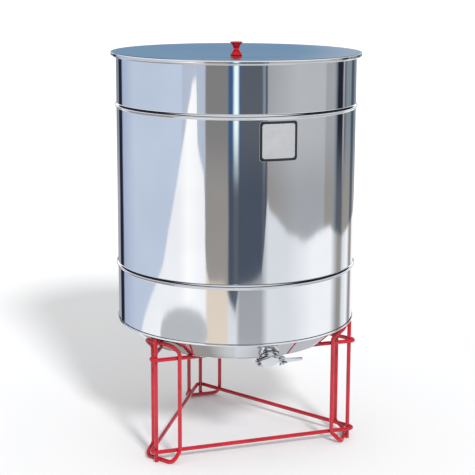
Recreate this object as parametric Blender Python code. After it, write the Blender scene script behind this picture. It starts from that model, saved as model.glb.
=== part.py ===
"""Vertical storage tank: a polished sheet steel drum with a loose lid, on a red round bar stand.

Units are metres, +Z is up. The tank's axis is the Z axis and the floor is z = 0.
The outlet gate faces -Y. Azimuths are measured from -Y towards +X.
"""
import math

import bmesh
import bpy
from mathutils import Matrix, Vector

MM = 0.001
TOUCH_GAP = 0.3 * MM          # what is left between two pieces that touch

# Tank shell
SHELL_RADIUS = 420 * MM
SHEET = 1.2 * MM
SHELL_BOTTOM = 450 * MM       # height of the shell's lower edge above the floor
LID_TOP = 1393 * MM           # height of the lid's edge above the floor
STAVES = 12
STAVE_STEPS = 6

# Stiffening beads pressed outward in the shell
BEAD_HEIGHTS = (198 * MM, 759.5 * MM) # centres above the shell's lower edge
BEAD_DEPTH = 5.5 * MM
BEAD_HALF_WIDTH = 9 * MM
BEAD_POINTS = 6

# Rolled rim near the top of the shell, and the folded seam at its foot
RIM_TUBE = 6.3 * MM
RIM_DROP = 9 * MM             # rim centre below the shell's top edge
SEAM_DEPTH = 3 * MM
SEAM_HEIGHT = 8 * MM

# Bottom: a cone, then a flat plate
CONE_FOOT_RADIUS = 330 * MM
CONE_DROP = 71.5 * MM
PLATE_SHEET = 1.5 * MM

# Loose lid
LID_RADIUS = 438 * MM
LID_SHEET = 1.5 * MM
LID_SKIRT = 11 * MM
LID_DISH = 15 * MM            # the panel's centre below its edge
LID_FLAT = 30 * MM            # level border of the panel
LID_POINTS = 6
KNOB_HEIGHT = 47 * MM
KNOB_RADIUS = 21.5 * MM
KNOB_WAIST = 10.5 * MM

# Outlet, in its own frame: z runs out along the pipe, from the cone's surface
OUTLET_PITCH = math.radians(45)       # how far the pipe points down
OUTLET_RADIUS = 385 * MM              # where its axis meets the cone
PIPE_OUTER = 28 * MM
PIPE_BORE = 25 * MM
PIPE_START = -4 * MM
PIPE_END = 22.2 * MM
NUT_START = 5 * MM
NUT_END = 22 * MM
NUT_RADIUS = 35 * MM
NUT_NOTCHES = 6
NUT_NOTCH_WIDTH = 9 * MM
NUT_NOTCH_DEPTH = 3.5 * MM
GASKET_START = 22.5 * MM
GASKET_END = 25.2 * MM
GASKET_RADIUS = 34 * MM
COLLAR_START = 25.5 * MM
COLLAR_END = 36 * MM
COLLAR_RADIUS = 33 * MM
FACE_START = 36.3 * MM
FACE_END = 43.3 * MM
FACE_RADIUS = 35 * MM
STUD_REACH = 41 * MM                  # stud axis to pipe axis
EAR_RADIUS = 12 * MM
STUD_RADIUS = 4 * MM
STUD_CLEARANCE = 0.4 * MM
STUD_HEAD_RADIUS = 7 * MM
STUD_HEAD_START = 30 * MM
STUD_END = 62 * MM
BLADE_START = 43.8 * MM
BLADE_END = 48.3 * MM
BLADE_RADIUS = 30 * MM
BLADE_LUG = 13 * MM                   # half width of the blade beside the clamp slot
HANDLE_REACH = 112 * MM
HANDLE_TIP = 8 * MM
WING_START = 48.8 * MM
WING_HUB_HEIGHT = 9 * MM
WING_HUB_RADIUS = 7.5 * MM
WING_SPAN = 17 * MM
WING_RISE = 12 * MM
WING_SHEET = 3 * MM

# Label plate: thin sheet on the shell, under the upper bead
LABEL_SIZE = 132 * MM
LABEL_SHEET = 0.5 * MM
LABEL_GAP = 4 * MM            # from the bead's lower edge to the plate
LABEL_TURN = math.radians(2.8)
LABEL_STEPS = 24

# Stand of bent round bar
ROD = 7 * MM                  # bar radius
STAND_TURN = math.radians(2.8)
LEG_AZIMUTHS = (math.radians(-60), math.radians(60), math.radians(180))
LEG_NAMES = ("front_left", "front_right", "back")
LOOP_RADIUS = 364 * MM        # the loops' uprights from the stand's axis
LOOP_WIDTH = 127 * MM
LOOP_KICK = 37 * MM           # how far the loops' ends are bent outward
KICK_RISE = 33 * MM
LOOP_CORNER = 21 * MM
KICK_BEND = 24 * MM
LOOP_TOP = SHELL_BOTTOM - 25 * MM     # axis of the loops' top bars
LOWER_RING_HEIGHT = 40 * MM
UPPER_RING_HEIGHT = SHELL_BOTTOM - CONE_DROP - PLATE_SHEET - 2 * TOUCH_GAP - ROD
BEND_STEPS = 6
ROD_RESOLUTION = 4

ROUND_STEPS = 96
SMALL_ROUND_STEPS = 40


def clear_scene():
    """Remove whatever the file holds."""
    for item in list(bpy.data.objects):
        bpy.data.objects.remove(item, do_unlink=True)


def make_material(name, colour, roughness, metallic):
    """A Principled material with one colour."""
    material = bpy.data.materials.new(name)
    material.use_nodes = True
    shader = material.node_tree.nodes["Principled BSDF"]
    shader.inputs["Base Color"].default_value = (*colour, 1.0)
    shader.inputs["Roughness"].default_value = roughness
    shader.inputs["Metallic"].default_value = metallic
    material.diffuse_color = (*colour, 1.0)
    return material


def link_object(name, data, material):
    """Put a mesh or curve in the scene under its node name."""
    item = bpy.data.objects.new(name, data)
    data.materials.append(material)
    bpy.context.scene.collection.objects.link(item)
    return item


def finish_mesh(name, shape, material):
    """Turn a bmesh into an object with its faces pointing out."""
    bmesh.ops.recalc_face_normals(shape, faces=shape.faces)
    mesh = bpy.data.meshes.new(name)
    shape.to_mesh(mesh)
    shape.free()
    item = link_object(name, mesh, material)
    mesh.shade_smooth()
    mesh.set_sharp_from_angle(angle=math.radians(35))
    return item


def on_circle(radius, azimuth, height=0.0):
    """Point at an azimuth from -Y towards +X."""
    return Vector((radius * math.sin(azimuth), -radius * math.cos(azimuth), height))


def turned_ring(name, profile, material, steps=ROUND_STEPS):
    """Turn a closed profile of (radius, height) points all the way round Z."""
    shape = bmesh.new()
    corners = [shape.verts.new((radius, 0.0, height)) for radius, height in profile]
    edges = [shape.edges.new((a, b)) for a, b in zip(corners, corners[1:] + corners[:1])]
    bmesh.ops.spin(shape, geom=corners + edges, axis=(0, 0, 1), cent=(0, 0, 0),
                   angle=2 * math.pi, steps=steps, use_duplicate=False)
    bmesh.ops.remove_doubles(shape, verts=shape.verts, dist=0.01 * MM)
    return finish_mesh(name, shape, material)


def turned_solid(name, profile, material, steps=ROUND_STEPS):
    """Turn an open profile, from axis to axis, all the way round Z."""
    shape = bmesh.new()
    corners = [shape.verts.new((radius, 0.0, height)) for radius, height in profile]
    edges = [shape.edges.new((a, b)) for a, b in zip(corners, corners[1:])]
    bmesh.ops.spin(shape, geom=corners + edges, axis=(0, 0, 1), cent=(0, 0, 0),
                   angle=2 * math.pi, steps=steps, use_duplicate=False)
    bmesh.ops.remove_doubles(shape, verts=shape.verts, dist=0.01 * MM)
    bmesh.ops.dissolve_degenerate(shape, edges=shape.edges, dist=0.001 * MM)
    return finish_mesh(name, shape, material)


def turned_segment(name, profile, start, sweep, steps, material):
    """Turn a closed profile through part of a circle, with flat ends."""
    shape = bmesh.new()
    corners = [shape.verts.new(on_circle(radius, start, height)) for radius, height in profile]
    face = shape.faces.new(corners)
    bmesh.ops.spin(shape, geom=[face], axis=(0, 0, 1), cent=(0, 0, 0),
                   angle=sweep, steps=steps, use_duplicate=False)
    return finish_mesh(name, shape, material)


def extruded_outline(name, outline, start, end, material):
    """Extrude a closed (x, y) outline from one height to another."""
    shape = bmesh.new()
    corners = [shape.verts.new((x, y, start)) for x, y in outline]
    face = shape.faces.new(corners)
    grown = bmesh.ops.extrude_face_region(shape, geom=[face])
    moved = [element for element in grown["geom"] if isinstance(element, bmesh.types.BMVert)]
    bmesh.ops.translate(shape, verts=moved, vec=(0, 0, end - start))
    return finish_mesh(name, shape, material)


def arc_points(centre_x, centre_y, radius, start, end, steps):
    """Points along an arc, both ends included, angles in degrees."""
    points = []
    for step in range(steps + 1):
        angle = math.radians(start + (end - start) * step / steps)
        points.append((centre_x + radius * math.cos(angle), centre_y + radius * math.sin(angle)))
    return points


def rounded_path(points, radii, closed):
    """Round the corners of a 3-D path, each with its own bend radius."""
    path = []
    count = len(points)
    for index, corner in enumerate(points):
        if not closed and index in (0, count - 1):
            path.append(corner)
            continue
        towards_last = (points[index - 1] - corner).normalized()
        towards_next = (points[(index + 1) % count] - corner).normalized()
        half_angle = towards_last.angle(towards_next) / 2
        bisector = (towards_last + towards_next).normalized()
        centre = corner + bisector * (radii[index] / math.sin(half_angle))
        reach = radii[index] / math.tan(half_angle)
        first = corner + towards_last * reach - centre
        last = corner + towards_next * reach - centre
        turn = first.angle(last)
        for step in range(BEND_STEPS + 1):
            share = step / BEND_STEPS
            blend = first * math.sin((1 - share) * turn) + last * math.sin(share * turn)
            path.append(centre + blend / math.sin(turn))
    return path


def bent_rod(name, path, closed, material):
    """Round bar along a path."""
    curve = bpy.data.curves.new(name, "CURVE")
    curve.dimensions = "3D"
    curve.twist_mode = "MINIMUM"
    curve.bevel_depth = ROD
    curve.bevel_resolution = ROD_RESOLUTION
    curve.use_fill_caps = not closed
    spline = curve.splines.new("POLY")
    spline.points.add(len(path) - 1)
    for point, place in zip(spline.points, path):
        point.co = (*place, 1.0)
    spline.use_cyclic_u = closed
    spline.use_smooth = True
    return link_object(name, curve, material)


def add_cutter(name, radius, start, end, place, material):
    """A hidden round cutter for a Boolean modifier."""
    outline = arc_points(0, 0, radius, 0, 360 - 360 / SMALL_ROUND_STEPS, SMALL_ROUND_STEPS - 1)
    cutter = extruded_outline(name, outline, start, end, material)
    cutter.matrix_world = place
    cutter.display_type = "WIRE"
    cutter.hide_render = True
    return cutter


def combine(item, other, operation):
    """Add an exact Boolean modifier."""
    modifier = item.modifiers.new(operation.lower(), "BOOLEAN")
    modifier.operation = operation
    modifier.solver = "EXACT"
    modifier.object = other


def shell_outline():
    """Heights and outer radii up the shell, with its two pressed beads."""
    points = [(SHELL_RADIUS, SHELL_BOTTOM)]
    for centre in BEAD_HEIGHTS:
        for step in range(BEAD_POINTS + 1):
            along = -1 + 2 * step / BEAD_POINTS
            swell = BEAD_DEPTH * (0.5 + 0.5 * math.cos(math.pi * along)) ** 0.8
            height = SHELL_BOTTOM + centre + along * BEAD_HALF_WIDTH
            points.append((SHELL_RADIUS + swell, height))
    points.append((SHELL_RADIUS, LID_TOP - LID_SHEET - TOUCH_GAP))
    return points


def add_shell(steel):
    """The round wall, in staves that meet edge to edge."""
    outside = shell_outline()
    inside = [(radius - SHEET, height) for radius, height in reversed(outside)]
    gap_angle = TOUCH_GAP / SHELL_RADIUS
    pitch = 2 * math.pi / STAVES
    for index in range(STAVES):
        start = (index - 0.5) * pitch + gap_angle / 2
        turned_segment(f"shell_stave_{index + 1:02d}", outside + inside, start,
                       pitch - gap_angle, STAVE_STEPS, steel)


def add_rim_and_seam(steel):
    """The rolled rim under the lid and the folded seam at the shell's foot."""
    rim_radius = SHELL_RADIUS + TOUCH_GAP + RIM_TUBE
    rim_height = LID_TOP - LID_SHEET - TOUCH_GAP - RIM_DROP
    tube = arc_points(rim_radius, rim_height, RIM_TUBE, 0, 324, 9)
    turned_ring("rolled_rim", tube, steel)
    inner = SHELL_RADIUS + TOUCH_GAP
    outer = inner + SEAM_DEPTH
    middle = SHELL_BOTTOM
    half = SEAM_HEIGHT / 2
    fold = [(inner, middle - half), (outer - 1 * MM, middle - half), (outer, middle - half + 1 * MM),
            (outer, middle + half - 1 * MM), (outer - 1 * MM, middle + half), (inner, middle + half)]
    turned_ring("bottom_seam", fold, steel)


def outlet_frame():
    """Place of the outlet: on the cone's slope, z out along the pipe."""
    slope = CONE_DROP / (SHELL_RADIUS - CONE_FOOT_RADIUS)
    height = SHELL_BOTTOM - (SHELL_RADIUS - OUTLET_RADIUS) * slope
    turn = Matrix.Rotation(math.radians(90) + OUTLET_PITCH, 4, "X")
    return Matrix.Translation((0.0, -OUTLET_RADIUS, height)) @ turn


def add_bottom(steel):
    """The cone, with the outlet's hole, and the flat bottom plate."""
    slope = math.atan2(CONE_DROP, SHELL_RADIUS - CONE_FOOT_RADIUS)
    across = SHEET / math.sin(slope)
    top = SHELL_BOTTOM - TOUCH_GAP
    foot = SHELL_BOTTOM - CONE_DROP
    profile = [(SHELL_RADIUS, top), (SHELL_RADIUS - across, top),
               (CONE_FOOT_RADIUS - across, foot), (CONE_FOOT_RADIUS, foot)]
    cone = turned_ring("bottom_cone", profile, steel)
    cutter = add_cutter("cutter_outlet", PIPE_OUTER + TOUCH_GAP, -40 * MM, 40 * MM,
                        outlet_frame(), steel)
    combine(cone, cutter, "DIFFERENCE")
    plate_top = foot - TOUCH_GAP
    plate = [(0, plate_top), (CONE_FOOT_RADIUS, plate_top),
             (CONE_FOOT_RADIUS, plate_top - PLATE_SHEET), (0, plate_top - PLATE_SHEET)]
    turned_solid("bottom_plate", plate, steel)


def add_lid(steel, red_plastic):
    """The loose lid: a dished panel, its turned-down skirt and a spool-shaped knob."""
    panel_radius = LID_RADIUS - LID_SHEET - TOUCH_GAP
    level_from = panel_radius - LID_FLAT
    upper = []
    for step in range(LID_POINTS + 1):
        share = step / LID_POINTS
        sag = LID_DISH * (1 - share ** 2) ** 2
        upper.append((level_from * share, LID_TOP - sag))
    upper.append((panel_radius, LID_TOP))
    lower = [(radius, height - LID_SHEET) for radius, height in reversed(upper)]
    turned_solid("lid_panel", upper + lower, steel)
    inner = LID_RADIUS - LID_SHEET
    skirt = [(inner, LID_TOP), (LID_RADIUS - 0.8 * MM, LID_TOP), (LID_RADIUS, LID_TOP - 0.8 * MM),
             (LID_RADIUS, LID_TOP - LID_SKIRT), (inner, LID_TOP - LID_SKIRT)]
    turned_ring("lid_skirt", skirt, steel)
    base = LID_TOP - LID_DISH + TOUCH_GAP
    flange = 4 * MM
    profile = [(0, base), (KNOB_RADIUS - 2 * MM, base), (KNOB_RADIUS, base + 2 * MM),
               (KNOB_RADIUS, base + flange)]
    waist_run = KNOB_HEIGHT - 2 * flange
    for step in range(1, 12):
        share = step / 12
        narrowing = (KNOB_RADIUS - KNOB_WAIST) * math.sin(math.pi * share) ** 0.7
        profile.append((KNOB_RADIUS - narrowing, base + flange + waist_run * share))
    top = base + KNOB_HEIGHT
    profile += [(KNOB_RADIUS, top - flange), (KNOB_RADIUS, top - 2 * MM),
                (KNOB_RADIUS - 2 * MM, top), (0, top)]
    turned_solid("lid_knob", profile, red_plastic, SMALL_ROUND_STEPS)


def ring_profile(inner, outer, start, end):
    """A square-edged tube's section."""
    return [(inner, start), (outer, start), (outer, end), (inner, end)]


def nut_outline():
    """A round union nut with notches for a hook spanner."""
    points = []
    pitch = 360 / NUT_NOTCHES
    half_notch = math.degrees(NUT_NOTCH_WIDTH / 2 / NUT_RADIUS)
    for index in range(NUT_NOTCHES):
        centre = index * pitch + pitch / 2
        floor = NUT_RADIUS - NUT_NOTCH_DEPTH
        points += arc_points(0, 0, floor, centre - half_notch, centre + half_notch, 2)
        points += arc_points(0, 0, NUT_RADIUS, centre + half_notch, centre + pitch - half_notch, 8)
    return points


def face_outline():
    """The gate's seat plate: a disc with two ears for the studs."""
    reach = math.degrees(math.acos((FACE_RADIUS - EAR_RADIUS) / STUD_REACH))
    points = arc_points(STUD_REACH, 0, EAR_RADIUS, -reach, reach, 10)
    points += arc_points(0, 0, FACE_RADIUS, reach, 180 - reach, 16)
    points += arc_points(-STUD_REACH, 0, EAR_RADIUS, 180 - reach, 180 + reach, 10)
    points += arc_points(0, 0, FACE_RADIUS, 180 + reach, 360 - reach, 16)
    return points


def blade_outline():
    """The gate's blade: pivot eye at -x, disc, clamp slot open downwards, handle at +x."""
    slot = STUD_RADIUS + 1 * MM
    eye = math.degrees(math.acos((BLADE_RADIUS - EAR_RADIUS) / STUD_REACH))
    shoulder = math.degrees(math.asin(BLADE_LUG / BLADE_RADIUS))
    points = arc_points(HANDLE_REACH - HANDLE_TIP, 0, HANDLE_TIP, -90, 90, 10)
    points += [(STUD_REACH + BLADE_LUG, BLADE_LUG)]
    points += arc_points(0, 0, BLADE_RADIUS, shoulder, 180 - eye, 14)
    points += arc_points(-STUD_REACH, 0, EAR_RADIUS, 180 - eye, 180 + eye, 10)
    points += arc_points(0, 0, BLADE_RADIUS, 180 + eye, 360 - shoulder, 14)
    points += [(STUD_REACH - slot, -BLADE_LUG)]
    points += arc_points(STUD_REACH, 0, slot, 180, 0, 8)
    points += [(STUD_REACH + slot, -BLADE_LUG), (STUD_REACH + BLADE_LUG, -BLADE_LUG)]
    return points


def add_stud(side, sign, frame, steel):
    """A stud through one ear, with its head behind."""
    profile = [(0, STUD_HEAD_START), (STUD_HEAD_RADIUS, STUD_HEAD_START),
               (STUD_HEAD_RADIUS, FACE_START - TOUCH_GAP), (STUD_RADIUS, FACE_START - TOUCH_GAP),
               (STUD_RADIUS, STUD_END - 1 * MM), (STUD_RADIUS - 1 * MM, STUD_END), (0, STUD_END)]
    stud = turned_solid(f"{side}_stud", profile, steel, 24)
    stud.matrix_world = frame @ Matrix.Translation((sign * STUD_REACH, 0, 0))


def add_wing_nut(side, sign, frame, steel):
    """A wing nut on a stud: a hub with two upturned wings."""
    hub = turned_ring(f"{side}_wing_nut", ring_profile(STUD_RADIUS + STUD_CLEARANCE, WING_HUB_RADIUS,
                                                       WING_START, WING_START + WING_HUB_HEIGHT),
                      steel, 24)
    place = frame @ Matrix.Translation((sign * STUD_REACH, 0, 0))
    hub.matrix_world = place
    inner = WING_HUB_RADIUS - 1.5 * MM
    low = WING_START + 2 * MM
    for name, way in (("right", 1), ("left", -1)):
        outline = [(way * inner, low), (way * WING_SPAN * 0.7, low + 2 * MM)]
        outline += [(way * x, z) for x, z in arc_points(WING_SPAN - 4 * MM, low + WING_RISE - 4 * MM,
                                                        4 * MM, -30, 150, 8)]
        outline += [(way * inner, low + 6 * MM)]
        wing = extruded_outline(f"cutter_{side}_wing_{name}", outline, -WING_SHEET / 2,
                                WING_SHEET / 2, steel)
        wing.matrix_world = place @ Matrix.Rotation(math.radians(90), 4, "X")
        wing.display_type = "WIRE"
        wing.hide_render = True
        combine(hub, wing, "UNION")


def add_outlet(steel, black_rubber):
    """The outlet pipe, its union and the gate that closes it."""
    frame = outlet_frame()
    tubes = (("outlet_pipe", PIPE_BORE, PIPE_OUTER, PIPE_START, PIPE_END, steel),
             ("outlet_gasket", PIPE_BORE, GASKET_RADIUS, GASKET_START, GASKET_END, black_rubber),
             ("gate_collar", PIPE_BORE, COLLAR_RADIUS, COLLAR_START, COLLAR_END, steel))
    for name, bore, outer, start, end, material in tubes:
        tube = turned_ring(name, ring_profile(bore, outer, start, end), material, SMALL_ROUND_STEPS)
        tube.matrix_world = frame
    nut = extruded_outline("union_nut", nut_outline(), NUT_START, NUT_END, steel)
    nut.matrix_world = frame
    combine(nut, add_cutter("cutter_nut", PIPE_OUTER + TOUCH_GAP, 0, 60 * MM, frame, steel),
            "DIFFERENCE")
    face = extruded_outline("gate_seat", face_outline(), FACE_START, FACE_END, steel)
    face.matrix_world = frame
    blade = extruded_outline("gate_blade", blade_outline(), BLADE_START, BLADE_END, steel)
    blade.matrix_world = frame
    combine(face, add_cutter("cutter_seat", PIPE_BORE, 30 * MM, 70 * MM, frame, steel), "DIFFERENCE")
    for side, sign in (("pivot", -1), ("clamp", 1)):
        place = frame @ Matrix.Translation((sign * STUD_REACH, 0, 0))
        cutter = add_cutter(f"cutter_{side}_stud", STUD_RADIUS + STUD_CLEARANCE, 30 * MM, 80 * MM,
                            place, steel)
        combine(face, cutter, "DIFFERENCE")
        if side == "pivot":
            combine(blade, cutter, "DIFFERENCE")
        add_stud(side, sign, frame, steel)
        add_wing_nut(side, sign, frame, steel)


def add_label_plate(label_silver):
    """A blank square label that follows the shell."""
    half_angle = LABEL_SIZE / 2 / SHELL_RADIUS
    top = SHELL_BOTTOM + BEAD_HEIGHTS[1] - BEAD_HALF_WIDTH - LABEL_GAP
    inner = SHELL_RADIUS + TOUCH_GAP
    profile = ring_profile(inner, inner + LABEL_SHEET, top - LABEL_SIZE, top)
    turned_segment("label_plate", profile, LABEL_TURN - half_angle, 2 * half_angle,
                   LABEL_STEPS, label_silver)


def leg_point(azimuth, radius, along, height):
    """Point on a leg: outward radius, distance along the tangent, height."""
    outward = on_circle(1.0, azimuth)
    tangent = Vector((math.cos(azimuth), math.sin(azimuth), 0.0))
    return outward * radius + tangent * along + Vector((0, 0, height))


def add_leg(name, azimuth, red_paint):
    """One leg: a closed loop of bar with kicked-out ends, and a post outside it."""
    half = LOOP_WIDTH / 2
    kicked = LOOP_RADIUS + LOOP_KICK
    corners = [(-half, kicked, ROD), (half, kicked, ROD),
               (half, LOOP_RADIUS, ROD + KICK_RISE), (half, LOOP_RADIUS, LOOP_TOP - KICK_RISE),
               (half, kicked, LOOP_TOP), (-half, kicked, LOOP_TOP),
               (-half, LOOP_RADIUS, LOOP_TOP - KICK_RISE), (-half, LOOP_RADIUS, ROD + KICK_RISE)]
    points = [leg_point(azimuth, radius, along, height) for along, radius, height in corners]
    radii = [LOOP_CORNER, LOOP_CORNER, KICK_BEND, KICK_BEND] * 2
    bent_rod(f"leg_loop_{name}", rounded_path(points, radii, True), True, red_paint)
    post_radius = kicked + 2 * ROD + TOUCH_GAP
    slope = CONE_DROP / (SHELL_RADIUS - CONE_FOOT_RADIUS)
    post_top = SHELL_BOTTOM - (SHELL_RADIUS - post_radius + ROD) * slope - 2 * TOUCH_GAP
    foot = leg_point(azimuth, post_radius, 0, 0)
    head = leg_point(azimuth, post_radius, 0, post_top)
    bent_rod(f"leg_post_{name}", [foot, head], False, red_paint)


def add_ring(name, height, red_paint):
    """A triangle of bar: inside the loops' uprights, and round outside the posts."""
    clear = 2 * ROD + TOUCH_GAP
    post_radius = LOOP_RADIUS + LOOP_KICK + clear
    side_distance = (LOOP_RADIUS * math.cos(math.radians(60))
                     + LOOP_WIDTH / 2 * math.sin(math.radians(60)) - clear)
    corner_radius = 2 * side_distance - (post_radius + clear)
    corners = [on_circle(2 * side_distance, azimuth + STAND_TURN, height) for azimuth in LEG_AZIMUTHS]
    path = rounded_path(corners, [corner_radius] * 3, True)
    bent_rod(name, path, True, red_paint)


def add_stand(red_paint):
    """Three legs tied by two triangular rings."""
    for name, azimuth in zip(LEG_NAMES, LEG_AZIMUTHS):
        add_leg(name, azimuth + STAND_TURN, red_paint)
    add_ring("stand_ring_lower", LOWER_RING_HEIGHT, red_paint)
    add_ring("stand_ring_upper", UPPER_RING_HEIGHT, red_paint)


def main():
    """Build the whole part."""
    clear_scene()
    steel = make_material("polished_steel", (0.72, 0.74, 0.76), 0.12, 1.0)
    label_silver = make_material("label_silver", (0.70, 0.71, 0.72), 0.4, 0.3)
    red_paint = make_material("red_paint", (0.62, 0.02, 0.03), 0.25, 0.0)
    red_plastic = make_material("red_plastic", (0.65, 0.02, 0.04), 0.2, 0.0)
    black_rubber = make_material("black_rubber", (0.02, 0.02, 0.02), 0.6, 0.0)
    add_shell(steel)
    add_rim_and_seam(steel)
    add_bottom(steel)
    add_lid(steel, red_plastic)
    add_outlet(steel, black_rubber)
    add_label_plate(label_silver)
    add_stand(red_paint)


main()
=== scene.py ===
"""A polished vertical storage tank on a stand of red bar, dressed for a studio picture.

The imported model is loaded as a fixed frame. Each piece is a surface worked out with numpy: a
profile turned about an axis, a section carried along a path, or an outline with a bore.
"""
import math

import bpy
import numpy as np
from mathutils import Matrix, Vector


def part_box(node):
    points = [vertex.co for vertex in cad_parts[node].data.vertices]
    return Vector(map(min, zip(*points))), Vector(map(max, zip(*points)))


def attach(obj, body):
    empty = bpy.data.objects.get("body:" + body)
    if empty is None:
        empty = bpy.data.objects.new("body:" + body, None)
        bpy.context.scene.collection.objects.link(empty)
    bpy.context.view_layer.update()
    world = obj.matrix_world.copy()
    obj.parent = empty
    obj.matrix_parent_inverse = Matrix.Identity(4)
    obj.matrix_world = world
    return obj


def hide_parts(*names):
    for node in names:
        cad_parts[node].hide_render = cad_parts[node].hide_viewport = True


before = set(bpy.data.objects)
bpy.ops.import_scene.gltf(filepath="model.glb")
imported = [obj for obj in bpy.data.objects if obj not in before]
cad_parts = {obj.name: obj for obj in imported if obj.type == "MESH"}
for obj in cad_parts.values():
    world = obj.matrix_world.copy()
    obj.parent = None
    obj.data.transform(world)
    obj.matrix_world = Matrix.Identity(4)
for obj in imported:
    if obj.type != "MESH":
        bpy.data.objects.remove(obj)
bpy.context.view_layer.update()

bl_info = {
    "name": "Vertical storage tank",
    "version": (1, 0, 0),
    "blender": (4, 5, 0),
    "location": "View3D > Sidebar > Tank",
    "description": "Builds the dressed surfaces of a storage tank with its stand and outlet gate",
    "category": "Object",
}

MM = 0.001
FULL_TURN = 2 * math.pi
TOUCH_GAP = 0.3 * MM

# Places that come from the frame
SHELL_LOW, SHELL_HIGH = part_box("shell_stave_01")
LID_LOW, LID_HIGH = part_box("lid_skirt")
CONE_LOW, CONE_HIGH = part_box("bottom_cone")
SHELL_FOOT = SHELL_LOW[2]
SHELL_TOP = SHELL_HIGH[2]
LID_TOP = LID_HIGH[2]
CONE_FOOT = CONE_LOW[2]
SHELL_RADIUS = 420 * MM
CONE_FOOT_RADIUS = 330 * MM

# Outlet: its axis leaves the cone here and runs out and down
OUTLET_RADIUS = 385 * MM
OUTLET_PITCH = math.radians(45)

# Stand
STAND_TURN = math.radians(2.8)
LEG_AZIMUTHS = {"front_left": -60, "front_right": 60, "back": 180}

# Mesh fineness
ROUND_STEPS = 320
SMALL_STEPS = 96
BAR_SIDES = 28


def length(name, description, default):
    """A length in metres."""
    return bpy.props.FloatProperty(name=name, description=description, default=default,
                                   min=0.0, unit="LENGTH", precision=4)


def angle(name, description, degrees):
    """An angle, given in degrees and kept in radians."""
    return bpy.props.FloatProperty(name=name, description=description,
                                   default=math.radians(degrees), subtype="ANGLE")


def colour(name, description, default):
    """A colour with plain linear values."""
    return bpy.props.FloatVectorProperty(name=name, description=description, default=default,
                                         size=3, min=0.0, max=1.0, subtype="COLOR")


def factor(name, description, default):
    """A share from 0 to 1."""
    return bpy.props.FloatProperty(name=name, description=description, default=default,
                                   min=0.0, max=1.0, subtype="FACTOR")


class VesselSizes(bpy.types.PropertyGroup):
    """Sizes of the round vessel and its lid."""
    shell_radius: length("Shell radius", "Outside of the plain wall", 0.42)
    sheet: length("Sheet", "Thickness of the wall and the cone", 0.0012)
    bead_low: length("Lower bead", "Centre of the lower bead above the shell's foot", 0.198)
    bead_high: length("Upper bead", "Centre of the upper bead above the shell's foot", 0.7595)
    bead_depth: length("Bead depth", "How far a bead stands out", 0.0055)
    bead_half: length("Bead half width", "Half the width of a bead", 0.009)
    rim_tube: length("Rim roll", "Radius of the rolled rim", 0.0063)
    rim_drop: length("Rim drop", "Centre of the roll below the shell's top", 0.009)
    cone_foot_radius: length("Cone foot", "Radius of the cone's lower edge", 0.33)
    lid_radius: length("Lid radius", "Outside of the lid's skirt", 0.438)
    lid_sheet: length("Lid sheet", "Thickness of the lid", 0.0015)
    lid_skirt: length("Skirt", "Height of the turned-down edge", 0.011)
    lid_dish: length("Dish", "How far the lid's centre lies below its edge", 0.015)
    lid_border: length("Border", "Width of the lid's level border", 0.030)
    knob_radius: length("Knob radius", "Radius of the knob's two flanges", 0.0215)
    knob_waist: length("Knob waist", "Radius of the knob's waist", 0.0105)
    knob_height: length("Knob height", "Height of the knob", 0.047)


class OutletSizes(bpy.types.PropertyGroup):
    """Sizes of the outlet and its gate."""
    pipe_radius: length("Pipe radius", "Outside of the outlet pipe", 0.028)
    bore_radius: length("Bore", "Radius of the bore", 0.025)
    nut_radius: length("Union nut", "Outside of the union nut", 0.035)
    notch_depth: length("Notch depth", "Depth of the spanner notches", 0.0035)
    notch_width: length("Notch width", "Width of the spanner notches", 0.009)
    stud_reach: length("Stud reach", "From the stud's axis to the pipe's axis", 0.041)
    stud_radius: length("Stud radius", "Outside of the thread", 0.004)
    thread_pitch: length("Thread pitch", "Rise of the thread in one turn", 0.00125)


class LabelSizes(bpy.types.PropertyGroup):
    """Sizes of the blank label."""
    side: length("Side", "Width and height", 0.132)
    corner: length("Corner", "Radius of the corners", 0.011)
    margin: length("Margin", "Bare strip outside the border", 0.0008)
    border: length("Border", "Width of the dark border", 0.0085)
    thickness: length("Thickness", "Thickness of the label", 0.0005)
    turn: angle("Turn", "How far the label sits to the right", 2.8)


class StandSizes(bpy.types.PropertyGroup):
    """Sizes of the stand."""
    bar: length("Bar radius", "Radius of the round bar", 0.007)
    loop_radius: length("Loop radius", "The loops' uprights from the stand's axis", 0.364)
    loop_width: length("Loop width", "Between the axes of one loop's uprights", 0.127)
    loop_kick: length("Kick", "How far the loops' ends are bent outward", 0.037)
    kick_rise: length("Kick rise", "Height of the bent ends", 0.033)
    loop_corner: length("Corner bend", "Bend radius at the loops' corners", 0.021)
    kick_bend: length("Kick bend", "Bend radius where the uprights turn outward", 0.024)
    loop_top: length("Loop top", "Axis of the loops' top bars above the floor", 0.425)
    ring_low: length("Lower ring", "Axis of the lower ring above the floor", 0.040)
    weld: length("Weld", "Size of a weld bead", 0.0062)


class Finishes(bpy.types.PropertyGroup):
    """Colours and gloss of the finishes."""
    steel: colour("Steel", "Polished stainless steel", (0.87, 0.875, 0.885))
    steel_roughness: factor("Steel roughness", "Roughness of the polished wall", 0.035)
    paint: colour("Paint", "Gloss paint on the stand", (0.47, 0.006, 0.018))
    plastic: colour("Plastic", "Moulded knob", (0.45, 0.006, 0.014))
    rubber: colour("Rubber", "Gasket", (0.012, 0.012, 0.013))
    foil: colour("Foil", "Silver field of the label", (0.57, 0.58, 0.60))
    ink: colour("Ink", "Border of the label", (0.012, 0.012, 0.014))


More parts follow.
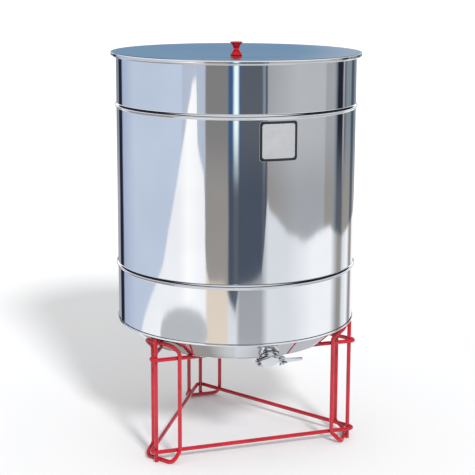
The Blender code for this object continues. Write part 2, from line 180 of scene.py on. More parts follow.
class StageSettings(bpy.types.PropertyGroup):
    """Floor, lights and room."""
    floor_radius: length("Floor radius", "Radius of the pale floor", 2.3)
    key_turn: angle("Key turn", "How far right of the camera the key light stands", 20.5)
    key_height: angle("Key height", "How high the key light stands", 36.0)
    key_size: angle("Key size", "Width of the key light's disc", 9.0)
    key_power: bpy.props.FloatProperty(name="Key power", description="Strength of the key light",
                                       default=2.4, min=0.0)
    fill_power: bpy.props.FloatProperty(name="Fill power", description="Strength of the soft fill",
                                        default=0.875, min=0.0)


# Shapes as arrays


def on_circle(radius, azimuth, height):
    """Points at an azimuth from the front (-Y), counted towards +X, at a height."""
    return np.stack(np.broadcast_arrays(radius * np.sin(azimuth), -radius * np.cos(azimuth),
                                        height), axis=-1)


def arc(centre, radius, start, end, steps):
    """Points on an arc: centre plus radius times the cosine and sine of evenly spread angles."""
    angles = np.radians(np.linspace(start, end, steps + 1))
    return np.stack([centre[0] + radius * np.cos(angles), centre[1] + radius * np.sin(angles)],
                    axis=-1)


def rounded(corners, bends, closed, steps=6):
    """A path whose corners are arcs.

    Each corner's arc has its centre on the bisector, at the bend radius over the sine of half
    the corner's angle, and the arc is the spherical blend of its two end directions.
    """
    corners = np.asarray(corners, dtype=float)
    count = len(corners)
    share = np.linspace(0, 1, steps + 1)[:, None]
    pieces = []
    for index, (corner, bend) in enumerate(zip(corners, bends)):
        if bend == 0 or (not closed and index in (0, count - 1)):
            pieces.append(corner[None, :])
            continue
        back = corners[index - 1] - corner
        ahead = corners[(index + 1) % count] - corner
        back /= np.linalg.norm(back)
        ahead /= np.linalg.norm(ahead)
        half = math.acos(np.clip(back @ ahead, -1, 1)) / 2
        bisector = (back + ahead) / np.linalg.norm(back + ahead)
        centre = corner + bisector * bend / math.sin(half)
        first = corner + back * bend / math.tan(half) - centre
        last = corner + ahead * bend / math.tan(half) - centre
        turn = math.pi - 2 * half
        blend = (first * np.sin((1 - share) * turn) + last * np.sin(share * turn)) / math.sin(turn)
        pieces.append(centre + blend)
    return np.concatenate(pieces)


def patch(points, wrap_rows=False, wrap_columns=False, first_pole=None, last_pole=None):
    """A grid of points as vertices and faces.

    Each quad joins a point to its neighbours in the next row and column. A pole closes the
    first or the last column with a fan of triangles.
    """
    rows, columns = points.shape[:2]
    row = np.arange(rows if wrap_rows else rows - 1)[:, None]
    column = np.arange(columns if wrap_columns else columns - 1)[None, :]
    next_row = (row + 1) % rows
    next_column = (column + 1) % columns
    quads = np.stack([row * columns + column, next_row * columns + column,
                      next_row * columns + next_column, row * columns + next_column], axis=-1)
    vertices = [points.reshape(-1, 3)]
    triangles = []
    ring = np.arange(rows)
    following = (ring + 1) % rows
    for pole, edge, flip in ((first_pole, 0, True), (last_pole, columns - 1, False)):
        if pole is None:
            continue
        centre = np.full(rows, sum(len(part) for part in vertices))
        vertices.append(np.asarray(pole, dtype=float).reshape(1, 3))
        order = (following, ring) if flip else (ring, following)
        triangles.append(np.stack([order[0] * columns + edge, order[1] * columns + edge, centre],
                                  axis=-1))
    fans = np.concatenate(triangles) if triangles else np.empty((0, 3), dtype=int)
    return np.concatenate(vertices), quads.reshape(-1, 4), fans


def joined(*patches):
    """Several patches as one, with their vertex numbers moved on."""
    starts = np.cumsum([0] + [len(part[0]) for part in patches[:-1]])
    return (np.concatenate([part[0] for part in patches]),
            np.concatenate([part[1] + start for part, start in zip(patches, starts)]),
            np.concatenate([part[2] + start for part, start in zip(patches, starts)]))


def placed(shape, place):
    """A patch moved by a matrix."""
    matrix = np.array(place)
    return shape[0] @ matrix[:3, :3].T + matrix[:3, 3], shape[1], shape[2]


def turned(profile, steps=ROUND_STEPS):
    """A profile of (radius, height) turned once about the z axis.

    Point (i, j) is the profile's point j at the azimuth i full turns over the steps. A closed
    profile runs up its outside. A profile that starts or ends on the axis gets a pole there.
    """
    profile = np.asarray(profile, dtype=float)
    poles = [None, None]
    inner = profile
    if profile[0, 0] == 0:
        poles[0] = (0, 0, profile[0, 1])
        inner = inner[1:]
    if profile[-1, 0] == 0:
        poles[1] = (0, 0, profile[-1, 1])
        inner = inner[:-1]
    azimuth = np.linspace(0, FULL_TURN, steps, endpoint=False)[:, None]
    points = on_circle(inner[None, :, 0], azimuth, inner[None, :, 1])
    return patch(points, wrap_rows=True, wrap_columns=poles == [None, None],
                 first_pole=poles[0], last_pole=poles[1])


def carried(path, wide, thick, reference, closed=False, sides=BAR_SIDES):
    """An elliptic section carried along a path.

    The section's first axis is the path's direction crossed with the reference, its second axis
    is the direction crossed with the first, and the point at an angle is the path's point plus
    each axis times its half width and the angle's cosine or sine. Open ends close on a pole.
    """
    path = np.asarray(path, dtype=float)
    if closed:
        ahead = np.roll(path, -1, axis=0) - path
        behind = path - np.roll(path, 1, axis=0)
    else:
        ahead = np.diff(path, axis=0, append=2 * path[-1:] - path[-2:-1])
        behind = np.diff(path, axis=0, prepend=2 * path[:1] - path[1:2])
    along = (ahead / np.linalg.norm(ahead, axis=1, keepdims=True)
             + behind / np.linalg.norm(behind, axis=1, keepdims=True))
    along /= np.linalg.norm(along, axis=1, keepdims=True)
    first = np.cross(along, np.asarray(reference, dtype=float))
    first /= np.linalg.norm(first, axis=1, keepdims=True)
    second = np.cross(along, first)
    around = np.linspace(0, FULL_TURN, sides, endpoint=False)[:, None, None]
    wide = np.broadcast_to(wide, len(path))[None, :, None]
    thick = np.broadcast_to(thick, len(path))[None, :, None]
    points = path + first * wide * np.cos(around) + second * thick * np.sin(around)
    if closed:
        return patch(points, wrap_rows=True, wrap_columns=True)
    return patch(points, wrap_rows=True, first_pole=path[0], last_pole=path[-1])


def with_round_ends(path, radius, rounding, steps=5):
    """An open bar's path and radii, with its ends rounded over.

    At each end the radius falls short by the rounding times one less the sine of an angle,
    while the path goes on by the rounding times its cosine's rest.
    """
    path = np.asarray(path, dtype=float)
    swing = np.linspace(0, math.pi / 2, steps + 1)
    start = (path[1] - path[0]) / np.linalg.norm(path[1] - path[0])
    end = (path[-1] - path[-2]) / np.linalg.norm(path[-1] - path[-2])
    head = path[0] + start * (rounding * (1 - np.sin(swing)))[:, None]
    tail = path[-1] - end * (rounding * (1 - np.sin(swing)))[::-1, None]
    radii = radius - rounding * (1 - np.cos(swing))
    return (np.concatenate([head[::-1], path[1:-1], tail[::-1]]),
            np.concatenate([radii[::-1], np.full(len(path) - 2, radius), radii]))


def slab(outline, bore, low, high, edge):
    """A flat plate with an outline, a round bore in the middle and softened edges.

    Each column is a loop around the plate: the bore's lower edge, the outline set in by the
    edge radius, the outline, and back over the top. Without a bore both faces end on a pole.
    """
    outline = np.asarray(outline, dtype=float)
    tangent = np.roll(outline, -1, axis=0) - np.roll(outline, 1, axis=0)
    normal = np.stack([tangent[:, 1], -tangent[:, 0]], axis=-1)
    normal /= np.linalg.norm(normal, axis=1, keepdims=True)
    inward = outline / np.linalg.norm(outline, axis=1, keepdims=True)
    swing = np.radians(np.linspace(0, 90, 5))
    inset = edge * (1 - np.sin(swing))
    rise = edge * (1 - np.cos(swing))
    loops = []
    if bore:
        loops.append((inward * bore, high))
        loops.append((inward * bore, low))
    loops += [(outline - normal * back, low + up) for back, up in zip(inset, rise)]
    loops += [(outline - normal * back, high - up) for back, up in zip(inset[::-1], rise[::-1])]
    if not bore:
        loops = [(outline * 0.4, low)] + loops + [(outline * 0.4, high)]
    points = np.stack([np.column_stack([flat, np.full(len(flat), height)])
                       for flat, height in loops], axis=1)
    if bore:
        return patch(points, wrap_rows=True, wrap_columns=True)
    return patch(points, wrap_rows=True, first_pole=(0, 0, low), last_pole=(0, 0, high))


def lump(centre, reach, wobble, seed, rows=20, columns=10):
    """A weld bead: an ellipsoid with a slow wave on its radius.

    Each point is the centre plus the reach along each axis times the unit sphere's point at
    two angles, times one plus the wobble times a wave of both angles.
    """
    swing = np.linspace(0, FULL_TURN, rows, endpoint=False)[:, None]
    tilt = np.linspace(-math.pi / 2, math.pi / 2, columns + 2)[None, 1:-1]
    radius = 1 + wobble * np.sin(3 * swing + seed) * np.cos(tilt) * np.cos(2 * tilt + seed)
    sphere = np.stack(np.broadcast_arrays(np.cos(tilt) * np.cos(swing),
                                          np.cos(tilt) * np.sin(swing), np.sin(tilt)), axis=-1)
    points = sphere * radius[..., None] * np.asarray(reach) + np.asarray(centre)
    low = np.asarray(centre) - np.array([0, 0, reach[2]])
    high = np.asarray(centre) + np.array([0, 0, reach[2]])
    return patch(points, wrap_rows=True, first_pole=low, last_pole=high)


def add_piece(name, shape, material, body="root", replaces=(), sharp=40):
    """Put a patch into a mesh object, shaded smooth but for its sharp edges."""
    vertices, quads, triangles = shape
    mesh = bpy.data.meshes.new(name)
    mesh.vertices.add(len(vertices))
    mesh.vertices.foreach_set("co", np.ascontiguousarray(vertices, dtype=np.float32).ravel())
    corners = np.concatenate([quads.ravel(), triangles.ravel()]).astype(np.int32)
    sizes = np.concatenate([np.full(len(quads), 4), np.full(len(triangles), 3)])
    starts = np.concatenate([[0], np.cumsum(sizes)[:-1]]).astype(np.int32)
    mesh.loops.add(len(corners))
    mesh.loops.foreach_set("vertex_index", corners)
    mesh.polygons.add(len(sizes))
    mesh.polygons.foreach_set("loop_start", starts)
    mesh.update(calc_edges=True)
    mesh.validate()
    mesh.polygons.foreach_set("use_smooth", np.ones(len(sizes), dtype=bool))
    mesh.set_sharp_from_angle(angle=math.radians(sharp))
    mesh.materials.append(material)
    piece = bpy.data.objects.new(name, mesh)
    bpy.context.scene.collection.objects.link(piece)
    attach(piece, body)
    if replaces:
        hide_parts(*replaces)
    return piece


# Shader node helpers


def tone(red, green, blue):
    """A screen colour from 0 to 255 as linear light."""
    screen = np.array([red, green, blue]) / 255
    linear = np.where(screen <= 0.04045, screen / 12.92, ((screen + 0.055) / 1.055) ** 2.4)
    return (*linear.tolist(), 1.0)


class Nodes:
    """Short calls to add and join shader nodes in one tree."""

    def __init__(self, tree):
        self.tree = tree
        self.count = 0

    def add(self, kind, **settings):
        """A node with its properties set, laid out in a row."""
        node = self.tree.nodes.new(kind)
        node.location = (180 * (self.count % 8), -220 * (self.count // 8))
        self.count += 1
        for key, value in settings.items():
            setattr(node, key, value)
        return node

    def feed(self, socket, value):
        """Join an output to a socket, or set the socket's own value."""
        if isinstance(value, bpy.types.NodeSocket):
            self.tree.links.new(value, socket)
        else:
            socket.default_value = value

    def sum(self, operation, first, second=0.0, third=None, clamp=False):
        """A Math node."""
        node = self.add("ShaderNodeMath", operation=operation, use_clamp=clamp)
        self.feed(node.inputs[0], first)
        self.feed(node.inputs[1], second)
        if third is not None:
            self.feed(node.inputs[2], third)
        return node.outputs[0]

    def mix(self, share, first, second):
        """A colour between two colours."""
        node = self.add("ShaderNodeMix", data_type="RGBA", clamp_factor=True)
        self.feed(node.inputs[0], share)
        self.feed(node.inputs[6], first)
        self.feed(node.inputs[7], second)
        return node.outputs[2]

    def span(self, value, low, high, start=0.0, end=1.0, smooth=True):
        """A value taken from one range to another, clamped."""
        node = self.add("ShaderNodeMapRange",
                        interpolation_type="SMOOTHSTEP" if smooth else "LINEAR", clamp=True)
        for socket, part in zip(node.inputs[:5], (value, low, high, start, end)):
            self.feed(socket, part)
        return node.outputs[0]

    def noise(self, place, scale, detail=2.0, roughness=0.5, distortion=0.0):
        """A noise value from 0 to 1."""
        node = self.add("ShaderNodeTexNoise")
        self.feed(node.inputs["Vector"], place)
        for key, value in (("Scale", scale), ("Detail", detail), ("Roughness", roughness),
                           ("Distortion", distortion)):
            self.feed(node.inputs[key], value)
        return node.outputs["Fac"]

    def scaled(self, place, scale, turn=(0.0, 0.0, 0.0)):
        """Coordinates stretched and turned by a Mapping node."""
        node = self.add("ShaderNodeMapping")
        self.feed(node.inputs["Vector"], place)
        node.inputs["Scale"].default_value = scale
        node.inputs["Rotation"].default_value = turn
        return node.outputs[0]

    def object_place(self):
        """Object coordinates."""
        return self.add("ShaderNodeTexCoord").outputs["Object"]

    def group(self, tree, **values):
        """A node group with its inputs set."""
        node = self.add("ShaderNodeGroup", node_tree=tree)
        for key, value in values.items():
            self.feed(node.inputs[key.replace("_", " ").capitalize()], value)
        return node.outputs


def new_group(name, inputs, outputs):
    """A shader node group with float inputs and outputs, and its end nodes."""
    tree = bpy.data.node_groups.new(name, "ShaderNodeTree")
    for label, default in inputs.items():
        kind = "NodeSocketVector" if default is None else "NodeSocketFloat"
        socket = tree.interface.new_socket(label, in_out="INPUT", socket_type=kind)
        if default is not None:
            socket.default_value = default
    for label in outputs:
        tree.interface.new_socket(label, in_out="OUTPUT", socket_type="NodeSocketFloat")
    nodes = Nodes(tree)
    return tree, nodes, nodes.add("NodeGroupInput"), nodes.add("NodeGroupOutput")


def sheet_waves_group():
    """Slow waves in rolled sheet: two noises, one broad and one finer, as a height."""
    tree, nodes, given, result = new_group("sheet_waves", {"Place": None, "Size": 3.0}, ["Height"])
    broad = nodes.noise(given.outputs["Place"], given.outputs["Size"], 1.0)
    finer_size = nodes.sum("MULTIPLY", given.outputs["Size"], 4.3)
    finer = nodes.noise(given.outputs["Place"], finer_size, 2.0)
    nodes.feed(result.inputs["Height"], nodes.sum("MULTIPLY_ADD", finer, 0.12, broad))
    return tree


def smudges_group():
    """Wiping marks and dull spots: a warped noise cut at a level, as a mask."""
    tree, nodes, given, result = new_group(
        "smudges", {"Place": None, "Size": 6.0, "Level": 0.55}, ["Mask"])
    cloud = nodes.noise(given.outputs["Place"], given.outputs["Size"], 5.0, 0.62, 0.8)
    high = nodes.sum("ADD", given.outputs["Level"], 0.2)
    nodes.feed(result.inputs["Mask"], nodes.span(cloud, given.outputs["Level"], high))
    return tree


def polish_lines_group():
    """Fine polishing lines: noise drawn out along one axis, as a value from 0 to 1."""
    tree, nodes, given, result = new_group("polish_lines", {"Place": None, "Size": 500.0},
                                           ["Value"])
    drawn = nodes.scaled(given.outputs["Place"], (1.0, 1.0, 0.02))
    nodes.feed(result.inputs["Value"], nodes.noise(drawn, given.outputs["Size"], 3.0, 0.7))
    return tree


def orange_peel_group():
    """The gentle skin of sprayed paint or moulded plastic: fine soft noise, as a height."""
    tree, nodes, given, result = new_group("orange_peel", {"Place": None, "Size": 400.0},
                                           ["Height"])
    nodes.feed(result.inputs["Height"],
               nodes.noise(given.outputs["Place"], given.outputs["Size"], 1.0, 0.4))
    return tree


def grouped(name, build):
    """A node group, built the first time it is asked for."""
    return bpy.data.node_groups.get(name) or build()


def new_material(name, metallic):
    """A material with a Principled BSDF, its nodes and its object coordinates."""
    material = bpy.data.materials.new(name)
    material.use_nodes = True
    material.node_tree.nodes.clear()
    nodes = Nodes(material.node_tree)
    output = nodes.add("ShaderNodeOutputMaterial")
    shader = nodes.add("ShaderNodeBsdfPrincipled")
    shader.inputs["Metallic"].default_value = metallic
    nodes.feed(output.inputs["Surface"], shader.outputs[0])
    return material, nodes, shader


def add_bump(nodes, shader, height, distance, strength=1.0, under=None):
    """A Bump node on the shader's normal."""
    node = nodes.add("ShaderNodeBump")
    node.inputs["Strength"].default_value = strength
    node.inputs["Distance"].default_value = distance
    nodes.feed(node.inputs["Height"], height)
    if under is not None:
        nodes.feed(node.inputs["Normal"], under)
    nodes.feed(shader.inputs["Normal"], node.outputs[0])
    return node.outputs[0]


def steel_material(name, finishes, roughness, wave, wave_size, lines, smudge, tint=1.0):
    """Polished stainless steel: waves in the sheet, polishing lines, wiping marks, soft clouds.

    Base colour: the steel's own, a little darker in slow clouds. Roughness: a base value, more
    in the lines and the wiping marks. Normal: the waves as a height.
    """
    if bpy.data.materials.get(name):
        return bpy.data.materials[name]
    material, nodes, shader = new_material(name, 1.0)
    place = nodes.object_place()
    cloud = nodes.noise(place, 2.2, 3.0, 0.6)
    bright = tuple(part * tint for part in finishes.steel) + (1.0,)
    dull = tuple(part * 0.93 for part in bright[:3]) + (1.0,)
    nodes.feed(shader.inputs["Base Color"], nodes.mix(nodes.span(cloud, 0.35, 0.7), bright, dull))
    marks = nodes.group(grouped("smudges", smudges_group), place=place, size=7.0, level=0.56)[0]
    grain = nodes.group(grouped("polish_lines", polish_lines_group), place=place, size=420.0)[0]
    rough = nodes.sum("MULTIPLY_ADD", grain, lines, roughness)
    rough = nodes.sum("MULTIPLY_ADD", marks, smudge, rough)
    nodes.feed(shader.inputs["Roughness"], rough)
    waves = nodes.group(grouped("sheet_waves", sheet_waves_group),
                        place=nodes.scaled(place, (1.0, 1.0, 0.35)), size=wave_size)[0]
    add_bump(nodes, shader, waves, wave)
    return material


def wall_steel(finishes):
    """The mirror-bright rolled wall."""
    return steel_material("steel_wall", finishes, finishes.steel_roughness, 0.0022, 2.6, 0.012,
                          0.03)


def lining_steel(finishes):
    """The wall's inside, left with a satin finish."""
    return steel_material("steel_lining", finishes, 0.3, 0.0012, 3.0, 0.1, 0.06, 0.9)


def lid_steel(finishes):
    """The lid's sheet, a little less bright."""
    return steel_material("steel_lid", finishes, 0.09, 0.0016, 3.4, 0.03, 0.05, 0.97)


def fitting_steel(finishes):
    """Turned and polished fittings."""
    return steel_material("steel_fittings", finishes, 0.07, 0.0003, 22.0, 0.04, 0.06, 0.98)


def red_paint(finishes):
    """Gloss paint on bar: cloudy depth, a faint skin, dull rub marks, under a clear coat."""
    if bpy.data.materials.get("red_paint_gloss"):
        return bpy.data.materials["red_paint_gloss"]
    material, nodes, shader = new_material("red_paint_gloss", 0.0)
    place = nodes.object_place()
    cloud = nodes.noise(place, 14.0, 3.0, 0.6)
    full = (*finishes.paint, 1.0)
    deep = tuple(part * 0.78 for part in finishes.paint) + (1.0,)
    nodes.feed(shader.inputs["Base Color"], nodes.mix(nodes.span(cloud, 0.35, 0.72), full, deep))
    marks = nodes.group(grouped("smudges", smudges_group), place=place, size=30.0, level=0.58)[0]
    nodes.feed(shader.inputs["Roughness"], nodes.sum("MULTIPLY_ADD", marks, 0.2, 0.22))
    shader.inputs["Coat Weight"].default_value = 0.35
    shader.inputs["Coat Roughness"].default_value = 0.08
    skin = nodes.group(grouped("orange_peel", orange_peel_group), place=place, size=260.0)[0]
    add_bump(nodes, shader, skin, 0.00025)
    return material


def red_plastic(finishes):
    """Moulded plastic: flow clouds, a fine skin and a soft gloss."""
    if bpy.data.materials.get("red_plastic_gloss"):
        return bpy.data.materials["red_plastic_gloss"]
    material, nodes, shader = new_material("red_plastic_gloss", 0.0)
    place = nodes.object_place()
    cloud = nodes.noise(place, 40.0, 2.0, 0.5, 0.4)
    full = (*finishes.plastic, 1.0)
    deep = tuple(part * 0.8 for part in finishes.plastic) + (1.0,)
    nodes.feed(shader.inputs["Base Color"], nodes.mix(nodes.span(cloud, 0.35, 0.7), full, deep))
    marks = nodes.group(grouped("smudges", smudges_group), place=place, size=60.0, level=0.55)[0]
    nodes.feed(shader.inputs["Roughness"], nodes.sum("MULTIPLY_ADD", marks, 0.15, 0.14))
    skin = nodes.group(grouped("orange_peel", orange_peel_group), place=place, size=500.0)[0]
    add_bump(nodes, shader, skin, 0.0001)
    return material


def black_rubber(finishes):
    """Moulded rubber: nearly black, with dull powdery patches and a fine grain."""
    if bpy.data.materials.get("rubber_black"):
        return bpy.data.materials["rubber_black"]
    material, nodes, shader = new_material("rubber_black", 0.0)
    place = nodes.object_place()
    marks = nodes.group(grouped("smudges", smudges_group), place=place, size=90.0, level=0.5)[0]
    worn = tuple(part * 3 for part in finishes.rubber) + (1.0,)
    nodes.feed(shader.inputs["Base Color"], nodes.mix(marks, (*finishes.rubber, 1.0), worn))
    nodes.feed(shader.inputs["Roughness"], nodes.sum("MULTIPLY_ADD", marks, 0.2, 0.5))
    skin = nodes.group(grouped("orange_peel", orange_peel_group), place=place, size=1500.0)[0]
    add_bump(nodes, shader, skin, 0.00008)
    return material


def label_foil(finishes):
    """Silver foil film: slightly cloudy, satin, with a faint ripple."""
    if bpy.data.materials.get("label_foil"):
        return bpy.data.materials["label_foil"]
    material, nodes, shader = new_material("label_foil", 0.55)
    place = nodes.object_place()
    cloud = nodes.noise(place, 18.0, 3.0, 0.6)
    full = (*finishes.foil, 1.0)
    dull = tuple(part * 0.9 for part in finishes.foil) + (1.0,)
    nodes.feed(shader.inputs["Base Color"], nodes.mix(nodes.span(cloud, 0.35, 0.7), full, dull))
    grain = nodes.group(grouped("polish_lines", polish_lines_group), place=place, size=900.0)[0]
    nodes.feed(shader.inputs["Roughness"], nodes.sum("MULTIPLY_ADD", grain, 0.15, 0.3))
    ripple = nodes.group(grouped("sheet_waves", sheet_waves_group), place=place, size=30.0)[0]
    add_bump(nodes, shader, ripple, 0.0003)
    return material


def label_ink(finishes):
    """Printed border: dark ink with a soft gloss and small rubbed spots."""
    if bpy.data.materials.get("label_ink"):
        return bpy.data.materials["label_ink"]
    material, nodes, shader = new_material("label_ink", 0.0)
    place = nodes.object_place()
    marks = nodes.group(grouped("smudges", smudges_group), place=place, size=45.0, level=0.62)[0]
    worn = tuple(part * 4 for part in finishes.ink) + (1.0,)
    nodes.feed(shader.inputs["Base Color"], nodes.mix(marks, (*finishes.ink, 1.0), worn))
    nodes.feed(shader.inputs["Roughness"], nodes.sum("MULTIPLY_ADD", marks, 0.2, 0.3))
    skin = nodes.group(grouped("orange_peel", orange_peel_group), place=place, size=700.0)[0]
    add_bump(nodes, shader, skin, 0.00005)
    return material


# Vessel


def bead_swell(height, centres, depth, half):
    """How far the wall stands out at a height.

    Within a bead's half width the swell is the depth times a raised cosine to the power 0.8.
    """
    swell = np.zeros_like(height)
    for centre in centres:
        along = np.clip((height - centre) / half, -1, 1)
        swell += depth * (0.5 + 0.5 * np.cos(math.pi * along)) ** 0.8
    return swell


def shell_shape(sizes):
    """The seamless round wall with its two pressed beads and its real thickness.

    Also gives which of its faces belong to the lining.
    """
    centres = [SHELL_FOOT + sizes.bead_low, SHELL_FOOT + sizes.bead_high]
    half = sizes.bead_half
    heights = [np.array([SHELL_FOOT, SHELL_FOOT + 2 * MM])]
    for centre in centres:
        heights.append(centre - half + np.array([-30, -6, -1.5]) * MM)
        heights.append(np.linspace(centre - half, centre + half, 33))
        heights.append(centre + half + np.array([1.5, 6, 30]) * MM)
    heights.append(np.array([SHELL_TOP - 2 * MM, SHELL_TOP]))
    height = np.concatenate(heights)
    outside = sizes.shell_radius + bead_swell(height, centres, sizes.bead_depth, half)
    wall = np.column_stack([outside, height])
    lining = np.column_stack([outside - sizes.sheet, height])[::-1]
    columns = np.arange(2 * len(height))
    return turned(np.concatenate([wall, lining])), np.tile(columns >= len(height), ROUND_STEPS)


def rim_shape(sizes):
    """The rolled rim: a circle turned about the axis."""
    centre = (sizes.shell_radius + TOUCH_GAP + sizes.rim_tube, SHELL_TOP - sizes.rim_drop)
    return turned(arc(centre, sizes.rim_tube, 0, 348, 29))


def seam_shape(sizes):
    """The folded seam at the shell's foot: a flat band with rounded outer corners."""
    seam_low, seam_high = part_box("bottom_seam")
    inner = sizes.shell_radius + TOUCH_GAP
    outer = seam_high[0]
    corners = [(inner, seam_low[2]), (outer, seam_low[2]), (outer, seam_high[2]),
               (inner, seam_high[2])]
    return turned(rounded(corners, [0, 1.4 * MM, 1.4 * MM, 0], True))


def outlet_place():
    """The outlet's own frame: z runs out along the pipe, x to the right."""
    slope = (SHELL_FOOT - CONE_FOOT) / (SHELL_RADIUS - CONE_FOOT_RADIUS)
    height = SHELL_FOOT - (SHELL_RADIUS - OUTLET_RADIUS) * slope
    turn = Matrix.Rotation(math.radians(90) + OUTLET_PITCH, 4, "X")
    return Matrix.Translation((0.0, -OUTLET_RADIUS, height)) @ turn


def add_cone(sizes, outlet, steel):
    """The cone with the outlet's hole.

    The grid runs round the cone and down its slope. Points inside the hole are pushed out to
    its rim along the line from the hole's axis, and faces wholly inside it are left out.
    """
    top = SHELL_FOOT - TOUCH_GAP
    steps, rows = 720, 60
    azimuth = np.linspace(-math.pi, math.pi, steps, endpoint=False)
    azimuth = azimuth - 0.55 * np.sin(azimuth)
    share = np.linspace(0, 1, rows)
    radius = SHELL_RADIUS + (CONE_FOOT_RADIUS - SHELL_RADIUS) * share
    height = top + (CONE_FOOT - top) * share
    points = on_circle(radius[None, ::-1], azimuth[:, None], height[None, ::-1])
    place = np.array(outlet_place())
    local = (points - place[:3, 3]) @ place[:3, :3]
    distance = np.linalg.norm(local[..., :2], axis=-1)
    hole = outlet.pipe_radius + TOUCH_GAP
    inside = (distance < hole) & (points[..., 1] < 0)
    push = np.where(inside, hole / np.maximum(distance, 1e-6), 1.0)
    local[..., :2] *= push[..., None]
    points = np.where(inside[..., None], local @ place[:3, :3].T + place[:3, 3], points)
    vertices, quads, triangles = patch(points, wrap_rows=True)
    lost = inside.reshape(-1)[quads].all(axis=1)
    cone = add_piece("tank_cone", (vertices, quads[~lost], triangles), steel,
                     replaces=("bottom_cone",))
    solid = cone.modifiers.new("sheet", "SOLIDIFY")
    solid.thickness = sizes.sheet
    solid.offset = -1.0
    solid.use_rim = True
    return cone


def lid_shape(sizes):
    """The lid: a dished panel, a level border, a rounded edge and a turned-down skirt.

    The panel's sag is the dish times the square of one less the square of the share of the
    way to the border. The underside follows it one sheet lower.
    """
    panel = sizes.lid_radius - sizes.lid_sheet - TOUCH_GAP
    level = panel - sizes.lid_border
    share = np.linspace(0, 1, 40)
    sag = sizes.lid_dish * (1 - share ** 2) ** 2
    dish = np.column_stack([level * share, LID_TOP - sag])
    low = LID_TOP - sizes.lid_skirt
    inner = sizes.lid_radius - sizes.lid_sheet
    under = np.vstack([dish - [0, sizes.lid_sheet], [inner - 2.2 * MM, LID_TOP - sizes.lid_sheet]])
    under[0, 0] = 0
    hem = rounded([under[-1], (inner, LID_TOP - sizes.lid_sheet), (inner, low), (sizes.lid_radius, low),
                   (sizes.lid_radius, LID_TOP), (level + 4 * MM, LID_TOP)],
                  [0, 0.6 * MM, 0.5 * MM, 0.6 * MM, 2.0 * MM, 0], False)
    return turned(np.concatenate([under[:-1], hem, dish[::-1]]))


def knob_shape(sizes):
    """The spool-shaped knob.

    Between its flanges the radius falls to the waist by the sine of the share of the height,
    to the power 0.7. The flanges' edges are arcs.
    """
    base = LID_TOP - sizes.lid_dish + TOUCH_GAP
    top = base + sizes.knob_height
    flange = 4 * MM
    run = np.linspace(0, 1, 28)[1:-1]
    narrowing = (sizes.knob_radius - sizes.knob_waist) * np.sin(math.pi * run) ** 0.7
    waist = np.column_stack([sizes.knob_radius - narrowing,
                             base + flange + (sizes.knob_height - 2 * flange) * run])
    foot = rounded([(0, base), (sizes.knob_radius, base), (sizes.knob_radius, base + flange)],
                   [0, 1.8 * MM, 0], False)
    head = rounded([(sizes.knob_radius, top - flange), (sizes.knob_radius, top), (0, top)],
                   [0, 1.8 * MM, 0], False)
    dimple = np.column_stack([np.linspace(15, 0, 8) * MM,
                              top - 0.8 * MM * np.cos(np.linspace(math.pi / 2, 0, 8))])
    return turned(np.concatenate([foot, waist, head[:-1], dimple]), SMALL_STEPS)


# Outlet


def nut_shape(outlet, low, high):
    """The union nut: a ring whose outer radius drops in six spanner notches.

    The radius falls by the notch depth times a soft step of the angle from each notch's middle.
    """
    steps = 360
    around = np.linspace(0, FULL_TURN, steps, endpoint=False)
    pitch = FULL_TURN / 6
    from_middle = np.abs(around % pitch - pitch / 2) * outlet.nut_radius
    edge = outlet.notch_width / 2
    step = np.clip((edge + 0.4 * MM - from_middle) / (0.8 * MM), 0, 1)
    drop = outlet.notch_depth * step * step * (3 - 2 * step)
    inner = np.full((steps, 1), outlet.pipe_radius + TOUCH_GAP)
    soft = 1.3 * MM
    swing = np.radians(np.linspace(0, 90, 6))
    inset = np.concatenate([soft * (1 - np.sin(swing)), soft * (1 - np.sin(swing))[::-1]])
    height = np.concatenate([low + soft * (1 - np.cos(swing)),
                             (high - soft * (1 - np.cos(swing)))[::-1]])
    groove = 0.7 * MM * np.exp(-((height - (low + high) / 2) / (0.8 * MM)) ** 2)
    outer = (outlet.nut_radius - drop)[:, None] - (inset + groove)[None, :]
    radius = np.concatenate([inner, outer, inner], axis=1)
    level = np.concatenate([[low], height, [high]])
    points = np.stack(np.broadcast_arrays(radius * np.cos(around)[:, None],
                                          radius * np.sin(around)[:, None], level), axis=-1)
    return patch(points, wrap_rows=True, wrap_columns=True)


def tube_shape(inner, outer, low, high, edge, steps=SMALL_STEPS):
    """A short tube with rounded outer edges, about its own z axis."""
    corners = [(inner, low), (outer, low), (outer, high), (inner, high)]
    return turned(rounded(corners, [0, edge, edge, 0], True, 5), steps)


def seat_outline(disc, ear, reach):
    """A disc joined by straight tangents to an ear on each side, as arcs in turn."""
    side = math.degrees(math.acos((disc - ear) / reach))
    arcs = [arc((reach, 0), ear, -side, side, 16), arc((0, 0), disc, side, 180 - side, 32),
            arc((-reach, 0), ear, 180 - side, 180 + side, 16),
            arc((0, 0), disc, 180 + side, 360 - side, 32)]
    return np.concatenate(arcs)


